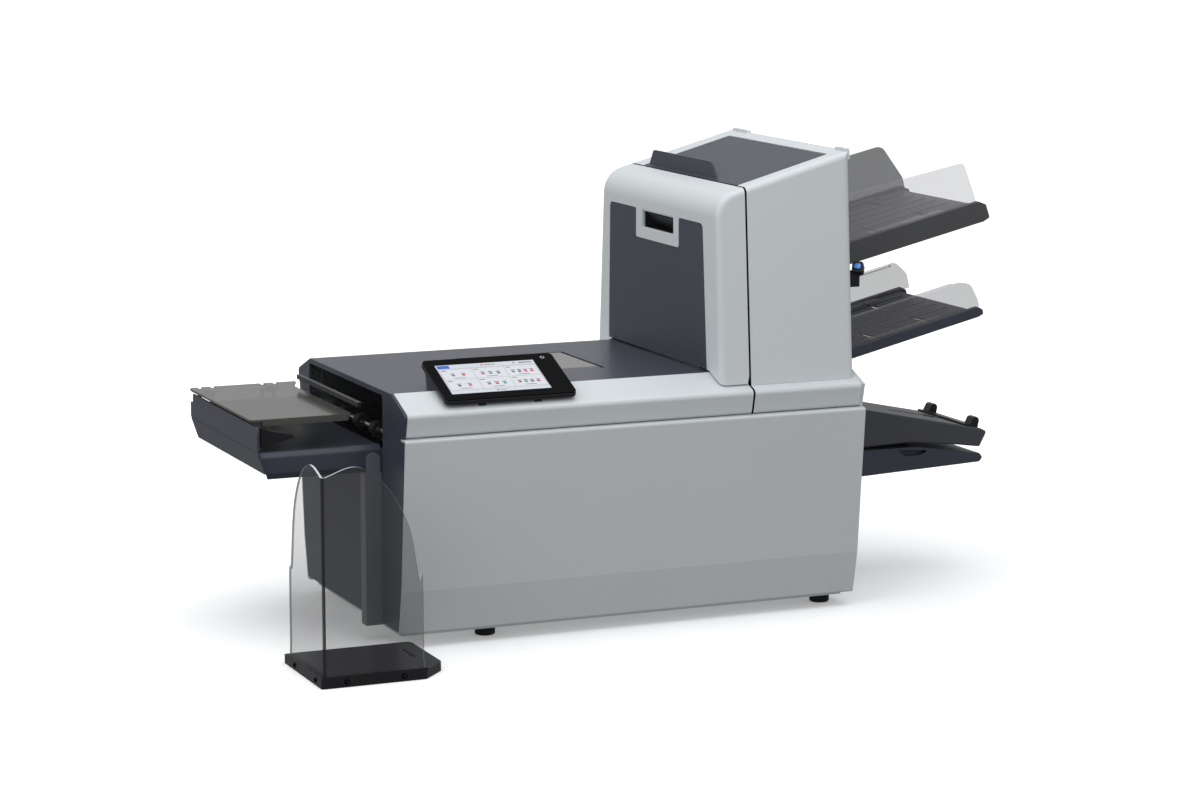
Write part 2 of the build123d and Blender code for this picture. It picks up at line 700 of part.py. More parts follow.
with BuildPart() as door_latch:
    prism(outline([
        (latch_pivot[0] - 1.8, latch_pivot[1] + 1.2), (latch_pivot[0] + 1.8, latch_pivot[1] + 1.2),
        (latch_pivot[0] + 9.0, pocket_low + 8.0), (latch_pivot[0] + 6.0, pocket_low + 8.0)], 0.8),
        at_y(pocket_back - 4), pocket_back - pocket_front - 8)
    rod((latch_pivot[0], pocket_front + 0.9, latch_pivot[1]),
        (latch_pivot[0], pocket_back - 0.9, latch_pivot[1]),
        latch_pin_radius)
save(door_latch, "door_latch")

lid_right = tower_right - 21.4
lid_left = seam + shut_line / 2 + 0.3
lid_front, lid_back = body_front + 65.0, body_front + 382.0
lid_gap = 0.8
lid_plane = Plane(origin=(lid_right, 0, top_of_tower(lid_right)),
                  x_dir=(cos(radians(tower_slope)), 0, sin(radians(tower_slope))),
                  z_dir=(-sin(radians(tower_slope)), 0, cos(radians(tower_slope))))
lid_length = (lid_right - lid_left) / cos(radians(tower_slope))
lid_pin_radius, lid_ear_radius = 2.0, 3.0
lid_pivot_in = 4.0
lid_edge = 1.9
tab_height, tab_in = 21.0, 9.0
lip_height, lip_thickness, lip_overhang = 3.0, 7.0, 2.5
lip_front = (body_front + 42.0, body_front + 76.0)
lip_back = (body_back - 91.0, body_back - 40.0)


def on_lid(x, y, z):
    """Point given along the slope from the lid's hinged edge, across the machine, and above its skin."""
    return lid_plane.from_local_coords((x, y, z))


lid_pin_reach = 6.0
ear_width = 5.0
upper_slot_low, upper_slot_high = upper_deck_height - 4.0, upper_deck_height + 66.0
middle_slot_low, middle_slot_high = middle_deck_height + 20.0, middle_deck_height + 74.0
slot_half = paper_width / 2 + 6.0

with BuildPart() as tower_shell:
    add(tower_block(seam + shut_line / 2, tower_right))
    add(tower_block(seam - 1, tower_right - wall, wall, lift=-60.0), mode=Mode.SUBTRACT)
    prism(rectangle((-lid_length - 4, lid_front - lid_gap), (lid_gap, lid_back + lid_gap)),
          lid_plane.offset(-wall - 2), wall + 4, Mode.SUBTRACT)
    for low, high in ((upper_slot_low, upper_slot_high), (middle_slot_low, middle_slot_high)):
        prism(rectangle((mid - slot_half, low), (mid + slot_half, high), 6),
              at_x(tower_right - wall - 1), wall + 2, Mode.SUBTRACT)
    for y0, y1 in ((lid_front - lid_gap - 9, lid_front - lid_gap),
                   (lid_back + lid_gap, lid_back + lid_gap + 9)):
        prism(rectangle((-lid_pivot_in - 5, y0), (-lid_pivot_in + 6, y1)), lid_plane.offset(-wall - 7), 7.0)
        rod(on_lid(-lid_pivot_in, y0 - 1, -lid_pivot_in), on_lid(-lid_pivot_in, y1 + 1, -lid_pivot_in),
            lid_pin_radius + running, Mode.SUBTRACT)
    shell_top = top_of_tower(tower_right)
    for y0, y1 in (lip_front, lip_back):
        prism(outline([(y0, shell_top - 12), (y1, shell_top - 12), (y1 - 2, shell_top + lip_height),
                       (y0 + 2, shell_top + lip_height)], [0, 0, 2, 2]),
              at_x(tower_right + lip_overhang - lip_thickness), lip_thickness)
save(tower_shell, "tower_shell")

with BuildPart() as tower_lid:
    prism(rectangle((-lid_length, lid_front), (0, lid_back), 5), lid_plane.offset(-wall), wall)
    prism(outline([(-lid_edge, -0.2), (0.2, -0.2), (0.2, lid_edge)]),
          Plane(origin=on_lid(0, lid_front - 1, 0), x_dir=lid_plane.x_dir, z_dir=(0, 1, 0)),
          lid_back - lid_front + 2, Mode.SUBTRACT)
    for y0 in (lid_front + 1, lid_back - 1 - ear_width):
        prism(rectangle((-lid_pivot_in - 3, y0), (-lid_pivot_in + 3, y0 + ear_width)),
              lid_plane.offset(-lid_pivot_in), lid_pivot_in - 1)
        rod(on_lid(-lid_pivot_in, y0, -lid_pivot_in), on_lid(-lid_pivot_in, y0 + ear_width, -lid_pivot_in),
            lid_ear_radius)
    rod(on_lid(-lid_pivot_in, lid_front - lid_pin_reach, -lid_pivot_in),
        on_lid(-lid_pivot_in, lid_front + 2, -lid_pivot_in), lid_pin_radius)
    rod(on_lid(-lid_pivot_in, lid_back - 2, -lid_pivot_in),
        on_lid(-lid_pivot_in, lid_back + lid_pin_reach, -lid_pivot_in), lid_pin_radius)
    tab_outline = outline([(lid_front + 84, -1), (lid_back - 2, -1), (lid_back - 16, tab_height),
                           (lid_front + 102, tab_height)], [0, 0, 8, 14])
    tab_plane = Plane(origin=on_lid(tab_in - lid_length, 0, 0), x_dir=(0, 1, 0), z_dir=(1, 0, 0))
    prism(tab_outline, tab_plane, 2.5)
save(tower_lid, "tower_lid")

# ---------------------------------------------------------------- touch screen
tablet_width, tablet_height, tablet_thickness = 189.0, 104.0, 8.5
tablet_tilt = 22.7
tablet_left = body_left + 60.0
tablet_glass_thickness = 1.2
tablet_plane = Plane(origin=(tablet_left, body_front + 5.5, plate_height - 6.0), x_dir=(1, 0, 0),
                     z_dir=(0, -sin(radians(tablet_tilt)), cos(radians(tablet_tilt))))
stand_inset = 5.0
tablet_pivot_in, tablet_pivot_drop = 8.0, 4.85
tablet_pin_radius = 1.75
lug_width, lug_notch = 10.0, 11.0
lug_places = (tablet_width / 2 - 40, tablet_width / 2 + 40)


def on_tablet(x, y, z):
    """Point given along the tablet's lower edge, up its face, and out of its face."""
    return tablet_plane.from_local_coords((x, y, z))


def across_tablet(x):
    """Plane across the tablet: sketch axes up its face and out of it, extrusion towards +X."""
    return Plane(origin=on_tablet(x, 0, 0), x_dir=tablet_plane.y_dir, z_dir=(1, 0, 0))


with BuildPart() as tablet_housing:
    prism(rectangle((0, 0), (tablet_width, tablet_height), 7), tablet_plane.offset(-tablet_thickness),
          tablet_thickness - tablet_glass_thickness)
    fillet(tablet_housing.faces().sort_by(Axis.Z)[0].edges(), radius=2.5)
    for x in lug_places:
        prism(rectangle((tablet_pivot_in - 5, -tablet_thickness - 1),
                        (tablet_pivot_in + 5, -tablet_glass_thickness - 0.9)),
              across_tablet(x - lug_notch / 2), lug_notch, Mode.SUBTRACT)
        rod(on_tablet(x - 11, tablet_pivot_in, -tablet_pivot_drop),
            on_tablet(x + 11, tablet_pivot_in, -tablet_pivot_drop),
            tablet_pin_radius + running, Mode.SUBTRACT)
save(tablet_housing, "tablet_housing")

with BuildPart() as tablet_glass:
    prism(rectangle((0.6, 0.6), (tablet_width - 0.6, tablet_height - 0.6), 6.4),
          tablet_plane.offset(-tablet_glass_thickness), tablet_glass_thickness)
save(tablet_glass, "tablet_glass")


def stand_point(y, z):
    """Y and Z of a point up the tablet's face and out of it."""
    point = on_tablet(0, y, z)
    return (point.Y, point.Z)


def shoulder_surface(y):
    """Height of the front shoulder's skin at y."""
    return plate_height - (plate_front - y) * shoulder_rise


stand_foot = 1.2
with BuildPart() as tablet_stand:
    stand_rear = stand_point(tablet_height - 6, -tablet_thickness - touch)
    stand_front = stand_point(16, -tablet_thickness - touch)
    strip_front = body_front + 12.0
    prism(outline([
        stand_front, stand_rear, (stand_rear[0] - 6, plate_height), (plate_front, plate_height),
        (stand_front[0] + 3, shoulder_surface(stand_front[0] + 3))]),
        at_x(tablet_left + stand_inset), tablet_width - 2 * stand_inset)
    for x in lug_places:
        prism(outline([
            (strip_front, shoulder_surface(strip_front)), (stand_front[0] + 6,
                                                           shoulder_surface(stand_front[0] + 6)),
            (stand_front[0] + 6, shoulder_surface(stand_front[0] + 6) + stand_foot),
            (strip_front, shoulder_surface(strip_front) + stand_foot)]),
            at_x(tablet_left + x - lug_width / 2), lug_width)
        prism(rectangle((tablet_pivot_in - 2, -tablet_thickness - 3.8),
                        (tablet_pivot_in + 2, -tablet_pivot_drop)),
              across_tablet(x - lug_width / 2), lug_width)
        rod(on_tablet(x - lug_width / 2, tablet_pivot_in, -tablet_pivot_drop),
            on_tablet(x + lug_width / 2, tablet_pivot_in, -tablet_pivot_drop), 2.4)
        rod(on_tablet(x - 10.5, tablet_pivot_in, -tablet_pivot_drop),
            on_tablet(x + 10.5, tablet_pivot_in, -tablet_pivot_drop), tablet_pin_radius)
save(tablet_stand, "tablet_stand")

# ---------------------------------------------------------------- output unit
out_left = body_left - output_reach + 4.0
out_right = body_left - touch
out_front, out_back = body_front + 95.0, body_front + 397.0
out_floor, out_foot, out_wall_top = 266.0, 232.0, 304.0
tray_left = out_left + wall + touch
side_fold = 270.0
side_foot = out_foot + 8.0
side_foot_in = 10.0
side_slope = side_foot_in / (side_fold - side_foot)
lean_left = out_left + wall * sqrt(1 + side_slope ** 2) + touch
cover_left, cover_right = body_left - output_reach, body_left - 37.0
cover_front, cover_back = body_front + 104.0, body_front + 394.0
cover_low, cover_wall = 309.0, 3.0
cover_pivot = (cover_back - 9.0, cover_low - 5.0)
cover_ears = (cover_left + 18.0, cover_right - 32.0)
cover_ear_width, cover_pin_radius = 12.0, 2.0
cover_corner = (cover_back - cover_pivot[0], cover_low + cover_wall - cover_pivot[1])
cover_swing = sqrt(cover_corner[0] ** 2 + cover_corner[1] ** 2) + touch

with BuildPart() as output_base:
    prism(outline([
        (out_front + 4.0, out_foot), (out_front, out_foot + 8), (out_front, out_floor - 4),
        (out_front + 7, out_floor + 3),
        (out_front + 16, out_floor + 1), (out_back, out_floor + 1), (out_back, out_foot + 12),
        (out_back - wall, out_foot + 12), (out_back - wall, out_floor - wall),
        (out_front + 10, out_floor - wall),
        (out_front + wall, out_floor - 7), (out_front + wall + 3, out_foot)],
        [0, 6, 4, 5, 2, 0, 0, 0, 0, 0, 0, 0]),
        at_x(tray_left), out_right - tray_left)
    block((tray_left, out_back - wall, out_floor), (out_right, out_back, out_wall_top - 14))
    prism(outline([
        (tray_left - 1, side_fold), (lean_left, side_fold),
        (lean_left + (side_fold - out_foot + 1) * side_slope, out_foot - 1),
        (tray_left - 1, out_foot - 1)]), at_y(out_back + 1), out_back - out_front + 2, Mode.SUBTRACT)
    for x in cover_ears:
        for x0 in (x - 5.5, x + cover_ear_width + 0.5):
            block((x0, cover_pivot[0] - 3, cover_pivot[1]), (x0 + 5, out_back - wall, cover_pivot[1] + 1.5))
            block((x0, out_back - wall - 4, out_floor + 1), (x0 + 5, out_back - wall, cover_pivot[1] + 1.5))
            rod((x0, *cover_pivot), (x0 + 5, *cover_pivot), 3.0)
        rod((x - 5, *cover_pivot), (x + cover_ear_width + 5, *cover_pivot), cover_pin_radius)
save(output_base, "output_base")

rack_tooth, rack_pitch, rack_count = 2.0, 4.2, 8
rack_low, rack_high = out_floor + 4.5, cover_low - 7.0
with BuildPart() as output_side:
    prism(bent_sheet([(out_left, out_wall_top), (out_left, side_fold),
                      (out_left + side_foot_in, side_foot)], wall),
          at_y(out_back + 3), out_back - out_front + 6)
    prism(rectangle((out_front - 3, out_foot - 20), (out_back + 3, out_wall_top + 5), 14),
          at_x(out_left - 10), 40, Mode.INTERSECT)
    block((out_left - 1, cover_pivot[0] + 4, cover_pivot[1] - cover_swing),
          (tray_left + 1, out_back + 4, out_wall_top + 1), Mode.SUBTRACT)
    block((out_left - 1, out_front - 4, side_fold - 0.8), (out_left + 0.8, out_back + 4, side_fold + 0.8),
          Mode.SUBTRACT)
    block((out_left + wall, out_front + 8, rack_low), (tray_left + 3, out_front + 13, rack_high))
    for i in range(rack_count):
        z = rack_low + 0.5 + i * rack_pitch
        prism(outline([(tray_left + 3, z), (tray_left + 3 + rack_tooth, z + 1.6),
                       (tray_left + 3, z + 3.2)]),
              at_y(out_front + 13), 5)
save(output_side, "output_side")

with BuildPart() as output_cover:
    prism(outline([(cover_left, cover_front), (cover_right, cover_front), (cover_right, cover_back - 40),
                   (cover_right + 16, cover_back), (cover_left, cover_back)], [8, 4, 4, 3, 8]),
          at_z(cover_low), cover_wall)
    block((cover_left + 16, cover_front, cover_low - 6), (cover_right - 5, cover_front + 2.5, cover_low))
    for x in cover_ears:
        for x0 in (x - 6.5, x + cover_ear_width):
            block((x0, cover_pivot[0] - 3, cover_low - 1), (x0 + 6.5, cover_back + 1,
                                                            cover_low + cover_wall + 1),
                  Mode.SUBTRACT)
        block((x, cover_pivot[0] - 4, cover_pivot[1]), (x + cover_ear_width, cover_pivot[0] + 4,
                                                        cover_low + 1))
        rod((x, *cover_pivot), (x + cover_ear_width, *cover_pivot), 4.0)
        rod((x - 1, *cover_pivot), (x + cover_ear_width + 1, *cover_pivot), cover_pin_radius + running,
            Mode.SUBTRACT)
save(output_cover, "output_cover")

pillar_left, pillar_face = body_left - 24.0, out_front - 2.4
pillar_arch = 249.0
with BuildPart() as exit_pillar:
    block((pillar_left, pillar_face, 22), (body_left - touch, out_front + 17, out_foot - 0.5))
    with BuildSketch(at_y(pillar_face + 2.0)):
        with BuildLine():
            Polyline((pillar_left + 2, 60), (pillar_left + 2, pillar_arch))
            ThreePointArc((pillar_left + 2, pillar_arch), (body_left - 12, pillar_arch + 10),
                          (body_left - 2, pillar_arch))
            Polyline((body_left - 2, pillar_arch), (body_left - 2, 60), (pillar_left + 2, 60))
        make_face()
    extrude(amount=2.0)
save(exit_pillar, "exit_pillar")

finger_low = out_floor + 9.0
finger_left = tray_left + 3 + rack_tooth + touch
with BuildPart() as holddown_finger:
    prism(outline([(finger_left, finger_low), (finger_left + 4, finger_low),
                   (finger_left + 45, finger_low + 10),
                   (finger_left + 45, finger_low + 13), (finger_left + 7, finger_low + 23),
                   (finger_left, finger_low + 23)],
                  [0, 0, 1.2, 1.2, 3, 0]), at_y(out_front + 34), 26)
    prism(outline([(finger_left - 1, out_front + 4), (finger_left + 55, out_front + 4),
                   (finger_left + 55, out_front + 34),
                   (finger_left + 39, out_front + 34), (finger_left - 1, out_front + 20)], [0, 0, 0, 6, 0]),
          at_z(finger_low - 5), 40, Mode.INTERSECT)
save(holddown_finger, "holddown_finger")

with BuildPart() as exit_guide:
    for y in (mid - 84, mid - 28, mid + 28, mid + 84):
        prism(bent_sheet([(body_left - 30, exit_high - 12), (body_left - 8, exit_high - 18),
                          (body_left + 12, exit_high - 26)], 0.8), at_y(y + 6), 12)
    block((body_left - 34, exit_front + 3, exit_high - 14), (body_left - 28, cover_back - 44,
                                                             exit_high - 8))
save(exit_guide, "exit_guide")

# ---------------------------------------------------------------- catch stacker
catch_front = body_front - stacker_reach
catch_left = body_left - 162.5
catch_right = body_left + 14.0
catch_back = body_front + 26.0
base_height, rim_height = 12.0, 15.0
sheet_thickness, sheet_in, sheet_clearance = 3.0, 4.0, 0.15
front_sheet_width, side_sheet_depth = 141.0, 143.0
groove_depth = 9.0
bend_height, front_peak, side_peak = 273.0, 284.0, 282.0
groove_width = sheet_thickness + 2 * sheet_clearance

with BuildPart() as stacker_base:
    prism(outline([(catch_left, catch_front), (catch_right - 34, catch_front),
                   (catch_right, catch_front + 36),
                   (catch_right, catch_back), (catch_left, catch_back)], [3, 8, 12, 8, 3]), at_z(0),
                   base_height)
    block((catch_left, catch_front, base_height), (catch_left + front_sheet_width + 4,
                                                   catch_front + sheet_in, rim_height))
    block((catch_left, catch_front, base_height), (catch_left + sheet_in, catch_front + side_sheet_depth,
                                                   rim_height))
    block((catch_left + sheet_in, catch_front + sheet_in, base_height - groove_depth),
          (catch_left + front_sheet_width + 1, catch_front + sheet_in + groove_width, rim_height + 1),
          Mode.SUBTRACT)
    block((catch_left + sheet_in, catch_front + sheet_in, base_height - groove_depth),
          (catch_left + sheet_in + groove_width, catch_front + side_sheet_depth + 1, rim_height + 1),
          Mode.SUBTRACT)
    corner_x, corner_y = catch_left + sheet_in + groove_width, catch_front + sheet_in + groove_width
    block((corner_x, corner_y, base_height - groove_depth), (corner_x + 2.5, corner_y + 2.5, base_height),
          Mode.SUBTRACT)
    with BuildSketch(at_z(base_height - 4)):
        with Locations((catch_right - 24, catch_back - 60)):
            SlotOverall(46, 5, rotation=90)
    extrude(amount=6, mode=Mode.SUBTRACT)
save(stacker_base, "stacker_base")

sheet_low = base_height - groove_depth + sheet_clearance
sheet_x, sheet_y = catch_left + sheet_in + sheet_clearance, catch_front + sheet_in + sheet_clearance


def above_arch(plane, start, points, end):
    """Region above a sheet's arched top edge; points run from the bend to the foot of the outer edge."""
    with BuildSketch(plane) as region:
        with BuildLine():
            Spline(points, tangents=[(1.0, 0.35), (0.0, -1.0)])
            Polyline(points[-1], (points[-1][0], sheet_low + 20), (end, sheet_low + 20),
                     (end, front_peak + 20),
                     (start, front_peak + 20), (start, points[0][1]), points[0])
        make_face()
    return region.sketch


front_curve = [(sheet_x + 5, bend_height)]
front_curve += [(catch_left + x, z) for x, z in (
    (52, front_peak), (84, 265), (110, 228), (126, 186), (136, 130), (140.5, 70))]
side_curve = [(sheet_y + 5, bend_height)]
side_curve += [(catch_front + y, z) for y, z in (
    (56, side_peak), (86, 267), (109, 238), (125, 192), (136, 130), (142, 70))]

with BuildPart() as stacker_sheet:
    prism(bent_sheet([(sheet_x, catch_front + side_sheet_depth), (sheet_x, sheet_y),
                      (catch_left + front_sheet_width, sheet_y)], sheet_thickness, 5.0),
          at_z(sheet_low), front_peak + 5 - sheet_low)
    front_arch = above_arch(at_y(sheet_y + sheet_thickness + 1), catch_left, front_curve, catch_left + 150)
    extrude(front_arch, amount=sheet_thickness + 2, mode=Mode.SUBTRACT)
    side_arch = above_arch(at_x(sheet_x - 1), sheet_y, side_curve, catch_front + 150)
    extrude(side_arch, amount=sheet_thickness + 2, mode=Mode.SUBTRACT)
save(stacker_sheet, "stacker_sheet")

# ---------------------------------------------------------------- feed trays
tray_front, tray_back = mid - tray_width / 2, mid + tray_width / 2
deck_drop, deck_thickness, deck_end = 3.0, 3.0, 244.0
slot_places, slot_width = (95.0, 180.0), 6.0
guide_reach, foot_reach, flange_width = 50.0, 20.0, 10.0
tray_pin_radius, tray_arm_width = 3.0, 8.0
upper_rail = outline([(8, 0), (250, 0), (260, -7), (262, -27), (251, -30), (8, -30)], [8, 0, 2, 3, 3, 3])
middle_rail = outline([(12, 0), (252, 0), (258, -5), (258, -12), (250, -14), (12, -14)], [3, 0, 2, 2, 2, 3])
upper_pivot, middle_pivot = (16.0, -15.0), (20.0, -7.0)


def tray_side(y, height):
    """Plane along a feed tray: sketch axes along its slope and above it, extrusion towards -Y."""
    return Plane(origin=(tower_right, y, height), z_dir=(0, -1, 0),
                 x_dir=(cos(radians(tray_slope)), 0, sin(radians(tray_slope))))


def on_tray(along, y, above, height):
    """Point of a feed tray whose rails meet the tower at a height."""
    return tray_side(0, height).from_local_coords((along, above, -y))


def feed_tray(rail, pivot, height, deck_start):
    """Two side rails, the deck between them, its guide slots and the pivot bores."""
    for y in (tray_front + rail_width, tray_back):
        prism(rail, tray_side(y, height), rail_width)
    prism(rectangle((deck_start, -deck_drop - deck_thickness), (deck_end, -deck_drop)),
          tray_side(tray_back - rail_width, height), tray_width - 2 * rail_width)
    for along in slot_places:
        for y0 in (tray_front + 14, tray_back - 14 - guide_reach - 14):
            prism(rectangle((along - slot_width / 2, -deck_drop - deck_thickness - 1),
                            (along + slot_width / 2, 0)),
                  tray_side(y0 + guide_reach + 14, height), guide_reach + 14, Mode.SUBTRACT)
    for y0, y1 in ((tray_front + 2, tray_front + rail_width + 1),
                   (tray_back - rail_width - 1, tray_back - 2)):
        rod(on_tray(pivot[0], y0, pivot[1], height), on_tray(pivot[0], y1, pivot[1], height),
            tray_pin_radius + running, Mode.SUBTRACT)


def side_guide(profile, height, side, lip=None):
    """Upright sheet guide with its foot on the deck and tongues through the deck's slots."""
    inner = mid + side * paper_width / 2
    outer = inner + side * guide_wall
    prism(profile, tray_side(max(inner, outer), height), guide_wall)
    if lip:
        start, end, top = lip
        prism(rectangle((start, top - guide_wall), (end, top), 1.0),
              tray_side(max(outer, outer - side * flange_width), height), flange_width)
    foot = inner - side * foot_reach
    prism(rectangle((80, -deck_drop + touch), (200, -deck_drop + 2.2)),
          tray_side(max(inner, foot), height), foot_reach)
    tongue = inner - side * 4
    for along in slot_places:
        prism(rectangle((along - slot_width / 2 + running, -deck_drop - deck_thickness - 3),
                        (along + slot_width / 2 - running, -deck_drop + 1)),
              tray_side(max(tongue, tongue - side * 10), height), 10)
        prism(rectangle((along - 5.5, -deck_drop - deck_thickness - 4),
                        (along + 5.5, -deck_drop - deck_thickness - 1)),
              tray_side(max(tongue, tongue - side * 10), height), 10)


guide_foot = -deck_drop + touch
upper_front_profile = outline([(36, guide_foot), (250, guide_foot), (250, 6), (243, 59), (36, 66)],
                              [0, 0, 4, 8, 12])
upper_rear_profile = outline([(36, guide_foot), (252, guide_foot), (252, 14), (228, 69.5), (36, 69.5)],
                             [0, 0, 10, 14, 12])
middle_front_profile = outline([(42, guide_foot), (259, guide_foot), (259, 8), (252, 34), (234, 41),
                                (42, 41)],
                               [0, 0, 4, 12, 10, 6])
middle_rear_profile = outline([(42, guide_foot), (263, guide_foot), (263, 20), (248, 41.5), (42, 41.5)],
                              [0, 0, 8, 12, 6])

for name, rail, pivot, height in (("upper_tray", upper_rail, upper_pivot, upper_deck_height),
                                  ("middle_tray", middle_rail, middle_pivot, middle_deck_height)):
    with BuildPart() as tray:
        feed_tray(rail, pivot, height, pivot[0] + 14)
    save(tray, name)

for name, profile, height, side, lip in (
    ("upper_front_guide", upper_front_profile, upper_deck_height, -1, None),
    ("upper_rear_guide", upper_rear_profile, upper_deck_height, 1, None),
    ("middle_front_guide", middle_front_profile, middle_deck_height, -1, (52, 226, 41)),
    ("middle_rear_guide", middle_rear_profile, middle_deck_height, 1, (52, 236, 41.5)),
):
    with BuildPart() as guide:
        side_guide(profile, height, side, lip)
    save(guide, name)

with BuildPart() as tray_hinges:
    for pivot, height, base_x, low, high in (
        (upper_pivot, upper_deck_height, tower_right, 452.0, 491.0),
        (middle_pivot, middle_deck_height, body_right, 322.0, 340.0),
    ):
        centre = on_tray(pivot[0], 0, pivot[1], height)
        for inner, side in ((tray_front + rail_width + touch, 1), (tray_back - rail_width - touch, -1)):
            back = max(inner, inner + side * tray_arm_width)
            prism(outline([(base_x, low), (centre.X + 2, centre.Z - 4.5), (centre.X + 2, centre.Z + 4.5),
                           (base_x, high)]),
                  at_y(back), tray_arm_width)
            rod((centre.X, back - tray_arm_width, centre.Z), (centre.X, back, centre.Z), 4.5)
            tip = inner - side * (rail_width - 2.5)
            rod((centre.X, inner + side, centre.Z), (centre.X, tip, centre.Z), tray_pin_radius)
save(tray_hinges, "tray_hinges")

# ---------------------------------------------------------------- envelope feeder
table_fall = 11.9
table_root = envelope_deck_height
arm_pivot = (body_right + 14.0, 180.0)
arm_pin_radius, arm_barrel_radius, arm_cheek = 4.0, 11.0, 9.0
stop_groove = 10.0
scoop_depth = 9.0


def along_table(y):
    """Plane along the envelope table: sketch axes down its slope and above it, extrusion towards -Y."""
    return Plane(origin=(body_right, y, table_root), z_dir=(0, -1, 0),
                 x_dir=(cos(radians(table_fall)), 0, -sin(radians(table_fall))))


table_points = [(-44, 273), (0, 273), (271, 216), (feeder_reach, 211), (269, 189), (228, 195), (152, 203),
                (77, 201),
                (2, 200), (-10, 200), (-10, 250), (-44, 258)]
table_radii = [0, 20, 3, 4, 3, 20, 60, 40, 0, 2, 0, 0]
with BuildPart() as envelope_table:
    prism(outline([(body_right + x, z) for x, z in table_points], table_radii), at_y(feeder_back),
          feeder_back - feeder_front)
    prism(rectangle((body_right - 50, feeder_front), (body_right + feeder_reach + 20, feeder_back)),
          at_z(150), 150,
          Mode.INTERSECT)
    chamfer(envelope_table.edges().filter_by(
        lambda edge: edge.center().Z > 205 and abs(edge.tangent_at(0.5).Y) < 0.1
        and edge.center().X > body_right + 20), length=2.0)
    prism(outline([(body_right + x, z) for x, z in (
        (-30, 267), (4, 267), (255, 213), (262, 200), (230, 200), (152, 208), (70, 206), (-6, 206),
        (-6, 256), (-30, 260))]),
        at_y(feeder_back - wall), feeder_back - feeder_front - 2 * wall, Mode.SUBTRACT)
    prism(rectangle((150, -8), (268, 0)), along_table(mid + stop_groove / 2 + 3), stop_groove + 6)
    prism(rectangle((160, -5), (266, 1)), along_table(mid + stop_groove / 2), stop_groove, Mode.SUBTRACT)
    for y0 in (feeder_front, feeder_back - arm_cheek):
        prism(outline([(body_right + 2, 202), (body_right + 2, 172), (body_right + 8, 166),
                       (body_right + 24, 172),
                       (body_right + 32, 202)], [0, 4, 6, 6, 0]), at_y(y0 + arm_cheek), arm_cheek)
    for y0, y1 in ((feeder_front + 1, feeder_front + 2 * arm_cheek),
                   (feeder_back - 2 * arm_cheek, feeder_back - 1)):
        rod((arm_pivot[0], y0, arm_pivot[1]), (arm_pivot[0], y1, arm_pivot[1]), arm_pin_radius)
save(envelope_table, "envelope_table")

with BuildPart() as envelope_stop:
    prism(rectangle((250, 0.4), (272, 2.8)), along_table(feeder_back - 3), feeder_back - feeder_front - 6)
    for y1 in (feeder_front + 21, feeder_back - 3):
        prism(outline([(258, 0.4), (272, 0.4), (272, 12), (268, 16), (262, 14)], [0, 0, 2, 2, 2]),
              along_table(y1), 18)
    prism(rectangle((222 + running, -4), (264, 1)), along_table(mid + stop_groove / 2 - running),
          stop_groove - 2 * running)
save(envelope_stop, "envelope_stop")

with BuildPart() as feeder_arm:
    prism(outline([(body_right + x, z) for x, z in (
        (16, 191), (34, 197), (161.5, 196), (268, 180), (274, 173), (268, 167), (74.5, 159), (20, 162))],
        [4, 3, 40, 3, 4, 4, 8, 4]), at_y(feeder_back), feeder_back - feeder_front)
    for y1 in (feeder_front + scoop_depth, feeder_back + 1):
        prism(outline([(body_right + x, z) for x, z in ((130, 194), (186, 190), (172, 184), (146, 183))],
                      [2, 2, 8, 8]),
              at_y(y1), scoop_depth + 1, Mode.SUBTRACT)
    for y0 in (feeder_front - 1, feeder_back - arm_cheek - touch):
        block((body_right, y0, 150), (body_right + 36, y0 + arm_cheek + touch + 1, 210), Mode.SUBTRACT)
    barrel_front, barrel_back = feeder_front + arm_cheek + touch, feeder_back - arm_cheek - touch
    rod((arm_pivot[0], barrel_front, arm_pivot[1]), (arm_pivot[0], barrel_back, arm_pivot[1]),
        arm_barrel_radius)
    for y0, y1 in ((barrel_front - 1, barrel_front + arm_cheek),
                   (barrel_back - arm_cheek, barrel_back + 1)):
        rod((arm_pivot[0], y0, arm_pivot[1]), (arm_pivot[0], y1, arm_pivot[1]), arm_pin_radius + running,
            Mode.SUBTRACT)
save(feeder_arm, "feeder_arm")

# ---------------------------------------------------------------- feed button on its stem
button_centre = (tower_right + 25.5, body_front + 57.0, 476.0)
button_radius, button_half, button_travel = 5.0, 4.0, 2.0
button_face = Plane(origin=button_centre, x_dir=(0.8, -0.6, 0), z_dir=(-0.5, -0.6667, 0.5528))
with BuildPart() as button_stem:
    prism(rectangle((-8, -8), (8, 8), 4), button_face.offset(-6), 12)
    block((tower_right, button_centre[1] + 1, button_centre[2] - 26),
          (button_centre[0] + 3, button_centre[1] + 8, button_centre[2] - 3))
    prism(rectangle((-button_radius - running, -button_half - running),
                    (button_radius + running, button_half + running), 3.9),
          button_face.offset(0), 7, Mode.SUBTRACT)
save(button_stem, "button_stem")

with BuildPart() as feed_button:
    prism(rectangle((-button_radius, -button_half), (button_radius, button_half), 3.85),
          button_face.offset(button_travel + 0.4),
          6.0)
save(feed_button, "feed_button")
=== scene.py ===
"""Looks for the tabletop folder-inserter: finishes, small hardware, screen, studio and camera.

Everything is in metres in the part's own frame: X along the machine towards the feed trays,
Y towards its rear, Z up, with the table at Z = 0.
"""

import json
import logging
import math
from collections.abc import Callable, Sequence
from dataclasses import dataclass
from enum import Enum

